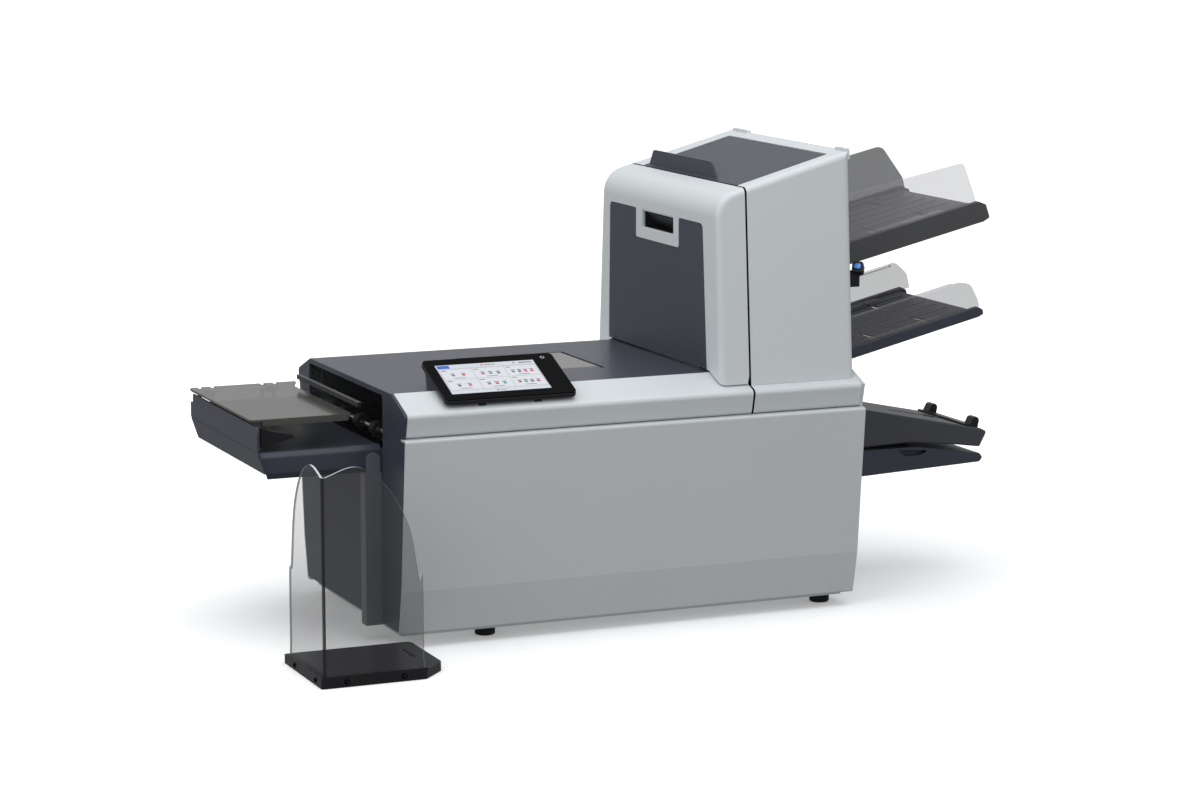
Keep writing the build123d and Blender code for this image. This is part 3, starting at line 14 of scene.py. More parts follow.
import bmesh
import bpy
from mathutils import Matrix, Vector

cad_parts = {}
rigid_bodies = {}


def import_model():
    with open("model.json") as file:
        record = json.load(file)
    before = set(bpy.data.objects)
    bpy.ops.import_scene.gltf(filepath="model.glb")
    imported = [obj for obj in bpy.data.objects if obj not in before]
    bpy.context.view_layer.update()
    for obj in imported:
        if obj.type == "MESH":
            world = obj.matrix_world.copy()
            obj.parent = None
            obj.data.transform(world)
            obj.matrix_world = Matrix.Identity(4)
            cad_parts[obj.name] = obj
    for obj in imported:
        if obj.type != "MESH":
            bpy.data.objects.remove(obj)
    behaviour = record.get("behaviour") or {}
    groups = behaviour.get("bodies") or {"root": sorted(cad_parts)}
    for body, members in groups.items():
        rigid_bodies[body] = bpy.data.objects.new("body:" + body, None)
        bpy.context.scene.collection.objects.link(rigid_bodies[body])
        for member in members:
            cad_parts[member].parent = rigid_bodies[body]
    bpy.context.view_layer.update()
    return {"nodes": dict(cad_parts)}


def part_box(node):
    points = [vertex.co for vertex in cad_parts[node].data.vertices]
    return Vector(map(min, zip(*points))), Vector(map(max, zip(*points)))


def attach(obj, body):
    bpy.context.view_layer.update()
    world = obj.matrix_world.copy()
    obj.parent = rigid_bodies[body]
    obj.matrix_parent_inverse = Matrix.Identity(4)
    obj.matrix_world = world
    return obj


for leftover in list(bpy.data.objects):
    bpy.data.objects.remove(leftover)

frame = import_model()

log = logging.getLogger("folder_inserter")
MM = 0.001
WELD = 1e-7

Colour = tuple[float, float, float]


class Slot(Enum):
    """Names of the record's material slots."""

    ANTHRACITE = "anthracite"
    BLACK = "black_plastic"
    CLEAR = "clear_sheet"
    GLASS = "screen_glass"
    STEEL = "steel"


# ---------------------------------------------------------------- node building
def socket_named(sockets: bpy.types.bpy_prop_collection, key: str | int) -> bpy.types.NodeSocket:
    """Find a socket.

    Args:
        sockets: The inputs or outputs of a node.
        key: Its place, identifier or name.

    Returns:
        The socket; an enabled one where several share a name.
    """
    if isinstance(key, int):
        return sockets[key]
    by_identifier = [item for item in sockets if item.identifier == key]
    by_name = [item for item in sockets if item.name == key and item.enabled]
    return (by_identifier + by_name)[0]


class Term:
    """A value in a node tree: a socket whose operators add Math nodes."""

    def __init__(self, tree: "Tree", socket: bpy.types.NodeSocket) -> None:
        """Wrap a socket of a tree."""
        self.tree = tree
        self.socket = socket

    def math(self, operation: str, *others: "float | Term") -> "Term":
        """Add one Math node.

        Args:
            operation: The node's operation.
            others: Its remaining operands.

        Returns:
            The node's result.
        """
        values = {place: value for place, value in enumerate((self, *others))}
        return self.tree.add("ShaderNodeMath", {"operation": operation}, values)

    def __add__(self, other: "float | Term") -> "Term":
        """Sum."""
        return self.math("ADD", other)

    def __mul__(self, other: "float | Term") -> "Term":
        """Product."""
        return self.math("MULTIPLY", other)

    def __sub__(self, other: "float | Term") -> "Term":
        """Difference."""
        return self.math("SUBTRACT", other)

    def __rsub__(self, other: "float | Term") -> "Term":
        """Difference from a number."""
        return (self * -1.0) + other

    def __truediv__(self, other: "float | Term") -> "Term":
        """Quotient."""
        return self.math("DIVIDE", other)

    def __gt__(self, other: "float | Term") -> "Term":
        """One where this is greater, else zero."""
        return self.math("GREATER_THAN", other)

    def __lt__(self, other: "float | Term") -> "Term":
        """One where this is less, else zero."""
        return self.math("LESS_THAN", other)

    def __abs__(self) -> "Term":
        """Absolute value."""
        return self.math("ABSOLUTE")

    def fraction(self) -> "Term":
        """The part after the decimal point."""
        return self.math("FRACT")

    def within_unit(self) -> "Term":
        """The value held between 0 and 1."""
        return self.math("MINIMUM", 1.0).math("MAXIMUM", 0.0)


Value = float | int | bool | Term | Sequence[float] | bpy.types.ID


class Tree:
    """A node tree that is filled by one method."""

    def __init__(self, tree: bpy.types.NodeTree) -> None:
        """Take an empty tree."""
        self.tree = tree

    def add(
        self,
        kind: str,
        settings: dict[str, object] | None = None,
        sockets: "dict[str | int, Value] | None" = None,
        out: str | int = 0,
    ) -> Term:
        """Add a node.

        Args:
            kind: The node's type.
            settings: Its own settings, which are set first.
            sockets: A value or a link for each input named.
            out: Which output is wanted.

        Returns:
            That output.
        """
        node = self.tree.nodes.new(kind)
        for key, value in (settings or {}).items():
            setattr(node, key, value)
        for key, value in (sockets or {}).items():
            self.put(socket_named(node.inputs, key), value)
        outputs = node.outputs
        return Term(self, socket_named(outputs, out)) if len(outputs) else Term(self, node.inputs[0])

    def put(self, socket: bpy.types.NodeSocket, value: Value) -> None:
        """Set an input to a value, or link it to a term."""
        if isinstance(value, Term):
            self.tree.links.new(value.socket, socket)
        elif socket.type == "RGBA" and len(value) == 3:
            socket.default_value = (*value, 1.0)
        else:
            socket.default_value = value


class Shader(Tree):
    """A material under construction."""

    def __init__(self, name: str) -> None:
        """Start an empty material."""
        self.material = bpy.data.materials.new(name)
        self.material.use_nodes = True
        super().__init__(self.material.node_tree)
        self.tree.nodes.clear()
        self.place = self.add("ShaderNodeTexCoord", out="Object")

    def axes(self) -> tuple[Term, Term, Term]:
        """The three object coordinates in metres."""
        split = self.add("ShaderNodeSeparateXYZ", {}, {0: self.place})
        outputs = split.socket.node.outputs
        return split, Term(self, outputs[1]), Term(self, outputs[2])

    def noise(self, scale: float, detail: float = 2.0, stretch: Colour = (1.0, 1.0, 1.0)) -> Term:
        """Noise in the object's own space.

        Args:
            scale: Features per metre.
            detail: Octaves.
            stretch: Factor on the scale along each axis.

        Returns:
            The noise, from 0 to 1.
        """
        spot = self.add("ShaderNodeMapping", {}, {"Vector": self.place, "Scale": stretch})
        return self.add("ShaderNodeTexNoise", {}, {"Vector": spot, "Scale": scale, "Detail": detail})

    def blend(self, factor: "float | Term", low: "Colour | Term", high: "Colour | Term") -> Term:
        """Mix two colours.

        Args:
            factor: Share of the second colour.
            low: The first colour.
            high: The second colour.

        Returns:
            The mixed colour.
        """
        return self.add(
            "ShaderNodeMix",
            {"data_type": "RGBA"},
            {"Factor_Float": factor, "A_Color": low, "B_Color": high},
            "Result_Color",
        )

    def bump(self, height: Term, depth: float, strength: float = 1.0) -> Term:
        """Relief on the surface.

        Args:
            height: The height, from 0 to 1.
            depth: The relief's full depth in metres.
            strength: How much of it shows.

        Returns:
            The bumped normal.
        """
        return self.add("ShaderNodeBump", {}, {"Strength": strength, "Distance": depth, "Height": height})

    def surface(self, **inputs: Value) -> bpy.types.Material:
        """Finish the material with a Principled shader.

        Args:
            inputs: Its sockets by name, with underscores for spaces.

        Returns:
            The material.
        """
        named = {key.replace("_", " "): value for key, value in inputs.items()}
        shader = self.add("ShaderNodeBsdfPrincipled", {}, named)
        self.add("ShaderNodeOutputMaterial", {}, {"Surface": shader})
        return self.material


def scaled(colour: Colour, factor: float) -> Colour:
    """A colour made lighter or darker."""
    return tuple(min(1.0, channel * factor) for channel in colour)


# ---------------------------------------------------------------- finishes
@dataclass(frozen=True)
class Moulded:
    """Satin moulded plastic or powder coat, with a fine grain and a little drift in its tone.

    Where seam is given, black runs at that place along X, the given half width to either side of it: painted
    shade for the joint's gap.
    """

    name: str
    colour: Colour
    roughness: float = 0.42
    grain: float = 1500.0
    relief: float = 0.000006
    drift: float = 0.03
    coat: float = 0.0
    gloss: float = 0.5
    seam: float | None = None
    seam_shade_half: float = 1.5 * MM

    def material(self) -> bpy.types.Material:
        """Make the material."""
        shader = Shader(self.name)
        cloud = shader.noise(6.0, 3.0)
        grain = shader.noise(self.grain, 2.0)
        smear = shader.noise(40.0, 4.0, (1.0, 1.0, 3.0))
        tone = cloud * 0.7 + grain * 0.3
        dark, light = scaled(self.colour, 1 - self.drift), scaled(self.colour, 1 + self.drift)
        shade = shader.blend(tone, dark, light)
        # Painted shade: black over the joint's gap, standing in for the shadow inside it.
        if self.seam is not None:
            away = (shader.axes()[0] - self.seam).math("ABSOLUTE")
            shade = shader.blend(away > self.seam_shade_half, SEAM_SHADE_BLACK, shade)
        return shader.surface(
            Base_Color=shade,
            Roughness=smear * 0.04 + (self.roughness - 0.02),
            Specular_IOR_Level=self.gloss,
            Coat_Weight=self.coat,
            Coat_Roughness=0.08,
            Normal=shader.bump(grain, self.relief),
        )


@dataclass(frozen=True)
class Acrylic:
    """Clear or smoked sheet."""

    name: str
    colour: Colour
    cover: float
    roughness: float = 0.06
    gloss: float = 0.5

    def material(self) -> bpy.types.Material:
        """Make the material."""
        shader = Shader(self.name)
        haze = shader.noise(14.0, 3.0)
        smear = shader.noise(60.0, 3.0, (1.0, 2.5, 1.0))
        return shader.surface(
            Base_Color=shader.blend(haze, scaled(self.colour, 0.95), scaled(self.colour, 1.05)),
            Roughness=smear * 0.05 + self.roughness,
            Alpha=haze * 0.03 + (self.cover - 0.015),
            Specular_IOR_Level=self.gloss,
        )


@dataclass(frozen=True)
class Metal:
    """Brushed or plated metal."""

    name: str
    colour: Colour
    roughness: float = 0.32
    stretch: Colour = (1.0, 30.0, 30.0)
    relief: float = 0.00001

    def material(self) -> bpy.types.Material:
        """Make the material."""
        shader = Shader(self.name)
        brush = shader.noise(45.0, 5.0, self.stretch)
        cloud = shader.noise(9.0, 3.0)
        return shader.surface(
            Base_Color=shader.blend(brush, scaled(self.colour, 0.88), scaled(self.colour, 1.08)),
            Metallic=1.0,
            Roughness=brush * 0.12 + cloud * 0.08 + (self.roughness - 0.10),
            Normal=shader.bump(brush, self.relief),
        )


@dataclass(frozen=True)
class Roller:
    """Rubber tyres bonded to a steel shaft: the rubber is whatever lies outside the shaft's radius."""

    name: str
    axis_x: float
    axis_z: float
    core_radius: float

    def material(self) -> bpy.types.Material:
        """Make the material."""
        shader = Shader(self.name)
        x, _, z = shader.axes()
        across, up = x - self.axis_x, z - self.axis_z
        tyre = (across * across + up * up).math("SQRT") > self.core_radius
        grain = shader.noise(1200.0, 3.0)
        brush = shader.noise(300.0, 4.0, (1.0, 0.05, 1.0))
        rubber = shader.blend(grain, (0.012, 0.012, 0.013), (0.03, 0.03, 0.032))
        steel = shader.blend(brush, (0.42, 0.43, 0.45), (0.62, 0.63, 0.65))
        return shader.surface(
            Base_Color=shader.blend(tyre, steel, rubber),
            Metallic=1.0 - tyre,
            Roughness=tyre * 0.35 + brush * 0.12 + 0.22,
            Normal=shader.bump(grain, 0.00003, 0.6),
        )


@dataclass(frozen=True)
class CircuitBoard:
    """Green solder mask with copper runs and tinned pads under the parts."""

    name: str
    pitch: float = 0.005

    def material(self) -> bpy.types.Material:
        """Make the material."""
        shader = Shader(self.name)
        x, _, z = shader.axes()
        column, row = (x / self.pitch).fraction(), (z / self.pitch).fraction()
        runs = shader.noise(70.0, 1.0, (1.0, 1.0, 6.0)) > 0.55
        pad = (abs(column - 0.5) < 0.12) * (abs(row - 0.5) < 0.12)
        mask = shader.blend(runs, (0.012, 0.10, 0.045), (0.03, 0.19, 0.085))
        return shader.surface(
            Base_Color=shader.blend(pad, mask, (0.62, 0.60, 0.52)),
            Metallic=pad,
            Roughness=0.35 - pad * 0.1,
            Normal=shader.bump(runs, 0.00004),
        )


@dataclass(frozen=True)
class Lit:
    """A lit part of a display, with its fine grid of cells."""

    name: str
    colour: Colour
    strength: float = 0.85
    pitch: float = 0.0004

    def material(self) -> bpy.types.Material:
        """Make the material."""
        shader = Shader(self.name)
        x, y, _ = shader.axes()
        column, row = (x / self.pitch).fraction(), (y / self.pitch).fraction()
        cell = (abs(column - 0.5) < 0.44) * (abs(row - 0.5) < 0.44)
        tone = shader.blend(cell, scaled(self.colour, 0.93), self.colour)
        return shader.surface(
            Base_Color=(0.02, 0.02, 0.02),
            Emission_Color=tone,
            Emission_Strength=self.strength,
            Roughness=cell * 0.02 + 0.12,
        )


class Tone(Enum):
    """Lit parts of the display's page."""

    GROUND = Lit("page_ground", (0.60, 0.64, 0.68))
    BAR = Lit("page_bar", (0.74, 0.78, 0.84))
    BLUE = Lit("page_blue", (0.01, 0.12, 0.62))
    TILE = Lit("page_tile", (0.80, 0.83, 0.87))
    MAGENTA = Lit("page_magenta", (0.55, 0.03, 0.26))
    RED = Lit("page_red", (0.70, 0.03, 0.03))
    INK = Lit("page_ink", (0.10, 0.11, 0.14))
    TEAL = Lit("page_teal", (0.03, 0.32, 0.34))


@dataclass(frozen=True)
class Lens:
    """Deep blue lens of a lit button, with a painted highlight that makes it brighter towards its middle."""

    name: str
    centre: tuple[float, float, float]
    radius: float

    def material(self) -> bpy.types.Material:
        """Make the material."""
        shader = Shader(self.name)
        x, y, z = shader.axes()
        dx, dy, dz = x - self.centre[0], y - self.centre[1], z - self.centre[2]
        # Painted highlight: colour and glow brighten towards the middle.
        highlight_share = 1.0 - (dx * dx + dy * dy + dz * dz).math("SQRT") / self.radius
        grain = shader.noise(900.0, 2.0)
        glow = shader.blend(highlight_share, (0.0, 0.01, 0.10), (0.02, 0.30, 0.75))
        return shader.surface(
            Base_Color=shader.blend(highlight_share, (0.01, 0.05, 0.45), (0.10, 0.45, 0.95)),
            Emission_Color=glow,
            Emission_Strength=0.25,
            Roughness=grain * 0.04 + 0.08,
            Coat_Weight=0.8,
        )


# Black of the painted shade over the tower's seam.
SEAM_SHADE_BLACK: Colour = (0.004, 0.004, 0.005)
# Painted shade deep in the door's handle pocket.
POCKET_SHADE_BLACK: Colour = (0.010, 0.010, 0.012)
PANE_TINT: Colour = (0.115, 0.108, 0.098)
SHELL = Moulded("shell_satin", (0.580, 0.612, 0.628), 0.40)
PANEL = Moulded("panel_powder", (0.545, 0.570, 0.580), 0.42, 700.0, 0.00003)
DARK = Moulded("anthracite_satin", (0.040, 0.045, 0.062), 0.38, gloss=0.3)
DARK_PLATE = Moulded("anthracite_plate", (0.046, 0.050, 0.068), 0.34, gloss=0.35)
TAUPE = Moulded("anthracite_taupe", (0.050, 0.051, 0.060), 0.40, gloss=0.35)
RAIL = Moulded("rail_grey", (0.068, 0.068, 0.072), 0.42, gloss=0.3)
PILLAR = Moulded("pillar_grey", (0.11, 0.118, 0.145), 0.35)
BLACK = Moulded("black_satin", (0.010, 0.010, 0.012), 0.32, gloss=0.25)
BLACK_GLOSS = Moulded("black_gloss", (0.001, 0.001, 0.0015), 0.12, 600.0, 0.000004, 0.05, gloss=0.04)
RUBBER = Moulded("rubber_matt", (0.010, 0.010, 0.010), 0.70, 1800.0, 0.00006, gloss=0.2)
SMOKED = Acrylic("smoked_acrylic", (0.082, 0.077, 0.070), 0.86, 0.10, 0.3)
SMOKED_LIGHT = Acrylic("smoked_guide", (0.16, 0.155, 0.16), 0.36)
CLEAR = Acrylic("stacker_acrylic", (0.085, 0.083, 0.085), 0.26)
CLEAR_GUIDE = Acrylic("clear_guide", (0.42, 0.41, 0.45), 0.26)
SMOKED_BAND = Acrylic("smoked_band", (0.060, 0.060, 0.066), 0.62)
# Painted highlight for the sawn edges of clear sheet.
EDGE_HIGHLIGHT = Acrylic("acrylic_edge_highlight", (0.70, 0.71, 0.74), 0.80, 0.2)
# Painted dark reflection line for the bend of clear sheet.
BEND_REFLECTION_DARK = Acrylic("acrylic_bend_reflection", (0.012, 0.012, 0.014), 0.90, 0.2)
STEEL = Metal("plated_steel", (0.60, 0.61, 0.62))
BOARD = CircuitBoard("circuit_board")

_made: dict[str, bpy.types.Material] = {}


def made(finish: object) -> bpy.types.Material:
    """The material of a finish, made once."""
    if finish.name not in _made:
        _made[finish.name] = finish.material()
    return _made[finish.name]


def dress(finish: object, *nodes: str) -> None:
    """Give CAD nodes a finish in place of their plain colour."""
    for node in nodes:
        data = frame["nodes"][node].data
        for place in range(len(data.materials)):
            data.materials[place] = made(finish)
        log.info("dressed %s in %s", node, finish.name)


# ---------------------------------------------------------------- shape building
def corners(node: str) -> tuple[Vector, Vector]:
    """Lowest and highest corner of a CAD node."""
    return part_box(node)


def mount(name: str, data: bpy.types.Mesh, body: str) -> bpy.types.Object:
    """Put a mesh in the scene as a piece that rides on a body.

    Args:
        name: The piece's name.
        data: Its mesh.
        body: The body it moves with.

    Returns:
        The finished object.
    """
    item = bpy.data.objects.new(name, data)
    bpy.context.scene.collection.objects.link(item)
    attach(item, body)
    log.info("made %s on %s: %d faces", name, body, len(data.polygons))
    return item


def faced(
    name: str,
    points: Sequence[Vector],
    faces: Sequence[Sequence[int]],
    finishes: Sequence[object],
) -> bpy.types.Mesh:
    """Make a mesh from points and faces.

    Args:
        name: Its name.
        points: Points in metres.
        faces: Point numbers of each face.
        finishes: One finish for each material slot.

    Returns:
        The mesh.
    """
    data = bpy.data.meshes.new(name)
    data.from_pydata([tuple(point) for point in points], [], [tuple(face) for face in faces])
    for finish in finishes:
        data.materials.append(made(finish))
    return data


def cleaned(data: bpy.types.Mesh, smooth: bool) -> bpy.types.Mesh:
    """Weld a mesh, turn its normals outwards and set its shading.

    Args:
        data: The mesh.
        smooth: Whether its faces are shaded smooth.

    Returns:
        The same mesh.
    """
    shape = bmesh.new()
    shape.from_mesh(data)
    bmesh.ops.remove_doubles(shape, verts=shape.verts, dist=WELD)
    bmesh.ops.recalc_face_normals(shape, faces=shape.faces)
    shape.to_mesh(data)
    shape.free()
    data.polygons.foreach_set("use_smooth", [smooth] * len(data.polygons))
    return data


def skin(
    name: str,
    node: str,
    body: str,
    finish: object,
    wanted: Callable[[Vector, Vector], bool],
    lift: float,
) -> bpy.types.Object:
    """Lay a thin coat over chosen faces of a CAD node, such as a painted highlight on the sawn edge of a
    clear sheet.

    Args:
        name: The piece's name.
        node: The CAD node.
        body: The body it moves with.
        finish: The coat's finish.
        wanted: Says from a face's normal and centre whether it is coated.
        lift: Thickness of the coat.

    Returns:
        The finished object.
    """
    source = frame["nodes"][node].data
    points, faces = [], []
    for face in source.polygons:
        if wanted(face.normal, face.center):
            ring = [source.vertices[place].co + face.normal * lift for place in face.vertices]
            faces.append(range(len(points), len(points) + len(ring)))
            points += ring
    return mount(name, faced(name, points, faces, [finish]), body)


@dataclass(frozen=True)
class Facet:
    """A flat face of a CAD node, measured in its own directions."""

    origin: Vector
    across: Vector
    down: Vector
    out: Vector
    width: float
    height: float

    @classmethod
    def of(cls, node: str, toward: Vector, across: Vector, spread: float = 0.02) -> "Facet":
        """Measure the face of a node that looks a given way.

        Args:
            node: The CAD node.
            toward: The direction that the face looks in.
            across: The direction its width is measured in.
            spread: How far a face's normal may be from that direction.

        Returns:
            The face, with its origin at its top left.
        """
        data = frame["nodes"][node].data
        toward = toward.normalized()
        faces = [face for face in data.polygons if (face.normal - toward).length < spread]
        reach = max(face.center.dot(toward) for face in faces)
        faces = [face for face in faces if face.center.dot(toward) > reach - 0.002]
        points = [data.vertices[place].co for face in faces for place in face.vertices]
        out = sum((face.normal * face.area for face in faces), Vector()).normalized()
        across = (across - out * across.dot(out)).normalized()
        down = across.cross(out)
        wide = [point.dot(across) for point in points]
        tall = [point.dot(down) for point in points]
        origin = across * min(wide) + down * min(tall) + out * points[0].dot(out)
        return cls(origin, across, down, out, max(wide) - min(wide), max(tall) - min(tall))

    def at(self, u: float, v: float, lift: float = 0.0) -> Vector:
        """The point at a share of the width and height, lifted off the face."""
        return self.origin + self.across * (u * self.width) + self.down * (v * self.height) + self.out * lift


# ---------------------------------------------------------------- repeated hardware
class Growth(Tree):
    """A geometry node tree with named sizes."""

    def __init__(self, name: str, sizes: Sequence[str]) -> None:
        """Start a tree.

        Args:
            name: Its name.
            sizes: The names of its size inputs.
        """
        group = bpy.data.node_groups.new(name, "GeometryNodeTree")
        group.interface.new_socket("Geometry", in_out="INPUT", socket_type="NodeSocketGeometry")
        for size in sizes:
            group.interface.new_socket(size, in_out="INPUT", socket_type="NodeSocketFloat")
        group.interface.new_socket("Geometry", in_out="OUTPUT", socket_type="NodeSocketGeometry")
        super().__init__(group)
        entry = group.nodes.new("NodeGroupInput")
        self.inlet = Term(self, entry.outputs["Geometry"])
        self.size = {size: Term(self, entry.outputs[size]) for size in sizes}
        self.branches: list[Term] = []

    def vector(self, x: "float | Term", y: "float | Term", z: "float | Term") -> Term:
        """A vector from three values."""
        return self.add("ShaderNodeCombineXYZ", {}, {0: x, 1: y, 2: z})

    def keep(self, geometry: Term, finish: object) -> None:
        """Add finished geometry to the result.

        Args:
            geometry: Meshes or instances.
            finish: Their finish.
        """
        real = self.add("GeometryNodeRealizeInstances", {}, {0: geometry})
        self.branches.append(self.add("GeometryNodeSetMaterial", {}, {0: real, "Material": made(finish)}))

    def close(self) -> "Growth":
        """Join what was kept and end the tree."""
        gather = self.tree.nodes.new("GeometryNodeJoinGeometry")
        for branch in self.branches:
            self.tree.links.new(branch.socket, gather.inputs[0])
        end = self.tree.nodes.new("NodeGroupOutput")
        self.tree.links.new(gather.outputs[0], end.inputs["Geometry"])
        return self

    def grow(
        self,
        name: str,
        body: str,
        slot: Slot,
        seed: bpy.types.Mesh,
        sizes: dict[str, float],
        smooth: bool = False,
    ) -> bpy.types.Object:
        """Run the tree on a mesh and keep the plain result.

        Args:
            name: The new piece's name.
            body: The body it moves with.
            slot: A slot of the record; not used.
            seed: The mesh that the tree starts from.
            sizes: A value for each named size.
            smooth: Whether its faces are shaded smooth.

        Returns:
            The finished object.
        """
        holder = bpy.data.objects.new(f"{name}_seed", seed)
        bpy.context.scene.collection.objects.link(holder)
        modifier = holder.modifiers.new("growth", "NODES")
        modifier.node_group = self.tree
        for item in self.tree.interface.items_tree:
            if item.in_out == "INPUT" and item.name in sizes:
                modifier[item.identifier] = float(sizes[item.name])
        graph = bpy.context.evaluated_depsgraph_get()
        data = bpy.data.meshes.new_from_object(holder.evaluated_get(graph))
        data.name = name
        holder.modifiers.remove(modifier)
        bpy.data.objects.remove(holder)
        return mount(name, cleaned(data, smooth), body)


def spots(places: Sequence[Vector], aims: Sequence[Vector]) -> bpy.types.Mesh:
    """Loose points, each with the direction that it faces.

    Args:
        places: The points in metres.
        aims: A direction for each.

    Returns:
        A mesh with an aim attribute.
    """
    data = bpy.data.meshes.new("spots")
    data.from_pydata([tuple(place) for place in places], [], [])
    aim = data.attributes.new("aim", "FLOAT_VECTOR", "POINT")
    aim.data.foreach_set("vector", [channel for way in aims for channel in way])
    return data


def lines(*runs: Sequence[Vector]) -> bpy.types.Mesh:
    """Open runs of straight edges as a mesh."""
    points, edges = [], []
    for run in runs:
        edges += [(len(points) + i, len(points) + i + 1) for i in range(len(run) - 1)]
        points += [tuple(point) for point in run]
    data = bpy.data.meshes.new("lines")
    data.from_pydata(points, edges, [])
    return data


def screw_tree(name: str, head: object, recess: object) -> Growth:
    """Tree that sets a round-headed screw with a hexagonal recess on each point.

    Args:
        name: The tree's name.
        head: Finish of the head.
        recess: Finish of the recess.

    Returns:
        The tree, with sizes Head Radius and Head Height.
    """
    tree = Growth(name, ["Head Radius", "Head Height"])
    radius, height = tree.size["Head Radius"], tree.size["Head Height"]
    aim = tree.add("GeometryNodeInputNamedAttribute", {"data_type": "FLOAT_VECTOR"}, {"Name": "aim"})
    turn = tree.add("FunctionNodeAlignRotationToVector", {"axis": "Z"}, {"Vector": aim})
    ball = tree.add("GeometryNodeMeshUVSphere", {}, {"Segments": 20, "Rings": 10, "Radius": 1.0})
    dome = tree.add("GeometryNodeTransform", {}, {0: ball, "Scale": tree.vector(radius, radius, height)})
    well = tree.add(
        "GeometryNodeMeshCylinder",
        {"fill_type": "NGON"},
        {"Vertices": 6, "Radius": radius * 0.42, "Depth": height * 0.5},
    )
    rise = tree.vector(0.0, 0.0, height * 0.78)
    sunk = tree.add("GeometryNodeTransform", {}, {0: well, "Translation": rise})
    for shape, finish in ((dome, head), (sunk, recess)):
        placed = tree.add(
            "GeometryNodeInstanceOnPoints", {}, {"Points": tree.inlet, "Instance": shape, "Rotation": turn}
        )
        tree.keep(placed, finish)
    return tree.close()


def strip_tree(name: str, finish: object) -> Growth:
    """Tree that runs a softly rounded strip along each line.

    Args:
        name: The tree's name.
        finish: Finish of the strip.

    Returns:
        The tree, with sizes Width and Height.
    """
    tree = Growth(name, ["Width", "Height"])
    width, height = tree.size["Width"], tree.size["Height"]
    path = tree.add("GeometryNodeMeshToCurve", {}, {0: tree.inlet})
    upright = tree.add("GeometryNodeSetCurveNormal", {"mode": "Z_UP"}, {0: path})
    section = tree.add(
        "GeometryNodeCurvePrimitiveQuadrilateral", {"mode": "RECTANGLE"}, {"Width": width, "Height": height}
    )
    soft = tree.add(
        "GeometryNodeFilletCurve",
        {},
        {0: section, "Radius": height.math("MINIMUM", width) * 0.3, "Limit Radius": True},
    )
    drawn = tree.add("GeometryNodeCurveToMesh", {}, {0: upright, "Profile Curve": soft, "Fill Caps": True})
    tree.keep(drawn, finish)
    return tree.close()


# ---------------------------------------------------------------- finishes tied to the model's own places
@dataclass(frozen=True)
class Bounded:
    """One finish up to a plane across the piece, and another beyond it."""

    name: str
    axis: str
    limit: float
    below: Colour
    above: Colour
    roughness_below: float
    roughness_above: float

    def material(self) -> bpy.types.Material:
        """Make the material."""
        shader = Shader(self.name)
        places = dict(zip("xyz", shader.axes()))
        beyond = places[self.axis] > self.limit
        grain = shader.noise(1300.0, 2.0)
        tone = shader.blend(beyond, self.below, self.above)
        lit = shader.blend(grain * 0.25, tone, (0.5, 0.5, 0.5))
        step = self.roughness_above - self.roughness_below
        return shader.surface(
            Base_Color=shader.blend(0.12, tone, lit),
            Roughness=beyond * step + self.roughness_below + grain * 0.03,
            Normal=shader.bump(grain, 0.00002),
        )


# ---------------------------------------------------------------- sub-assemblies
@dataclass
class Housing:
    """Covers, panels, plates and frames of the main body."""

    screw_radius: float = 3.6 * MM
    screw_height: float = 1.9 * MM
    screw_inset: float = 26 * MM
    screw_levels: tuple[float, ...] = (40 * MM, 150 * MM, 262 * MM)
    hatch_frame: float = 14 * MM

    def build(self) -> None:
        """Dress the covers and add their hardware."""
        dress(SHELL, "rear_shoulder")
        dress(PANEL, "front_panel", "rear_panel", "right_end_panel")
        dress(DARK, "left_end_panel")
        dress(DARK_PLATE, "top_plate", "right_top_plate")
        dress(STEEL, "base_pan", "front_frame", "rear_frame", "frame_ties", "shaft_bearings")
        dress(RUBBER, "feet")
        dress(BLACK, "mains_inlet")
        dress(BLACK_GLOSS, "power_rocker")
        rim = corners("window_hatch")[0].y + self.hatch_frame
        pane = Bounded("hatch_pane", "y", rim, DARK_PLATE.colour, PANE_TINT, DARK_PLATE.roughness, 0.12)
        dress(pane, "window_hatch")
        self.screws()

    def screws(self) -> None:
        """Screws of the right end panel."""
        tree = screw_tree("panel_screw", STEEL, BLACK)
        sizes = {"Head Radius": self.screw_radius, "Head Height": self.screw_height}
        low, high = corners("right_end_panel")
        places = [
            Vector((high.x, y, z))
            for y in (low.y + self.screw_inset, high.y - self.screw_inset)
            for z in (low.z + level for level in self.screw_levels)
        ]
        seed = spots(places, [Vector((1, 0, 0))] * len(places))
        tree.grow("end_panel_screws", "chassis", Slot.STEEL, seed, sizes, True)


@dataclass
class Tower:
    """Upright housing with its door, lid and handle."""

    half_gap: float = 1.1 * MM
    handle_rim: float = 3.2 * MM

    def build(self) -> None:
        """Dress the tower, with painted shade in the seam between its door side and its fixed side."""
        seam = corners("tower_shell")[0].x - self.half_gap
        # Painted shade: the shell's finish turns black along the seam.
        seam_shaded = Moulded("shell_seam_shade", SHELL.colour, SHELL.roughness, seam=seam)
        dress(seam_shaded, "tower_shell", "door_shell", "left_shoulder", "right_shoulder")
        dress(DARK, "door_panel", "tower_lid")
        dress(BLACK, "door_latch", "door_hinges")
        # Painted shade: the handle pocket keeps the shell's grey at its rim and is near-black deeper in.
        rim = corners("handle_pocket")[0].x + self.handle_rim
        dress(Bounded("handle_rim", "x", rim, SHELL.colour, POCKET_SHADE_BLACK, 0.38, 0.30), "handle_pocket")


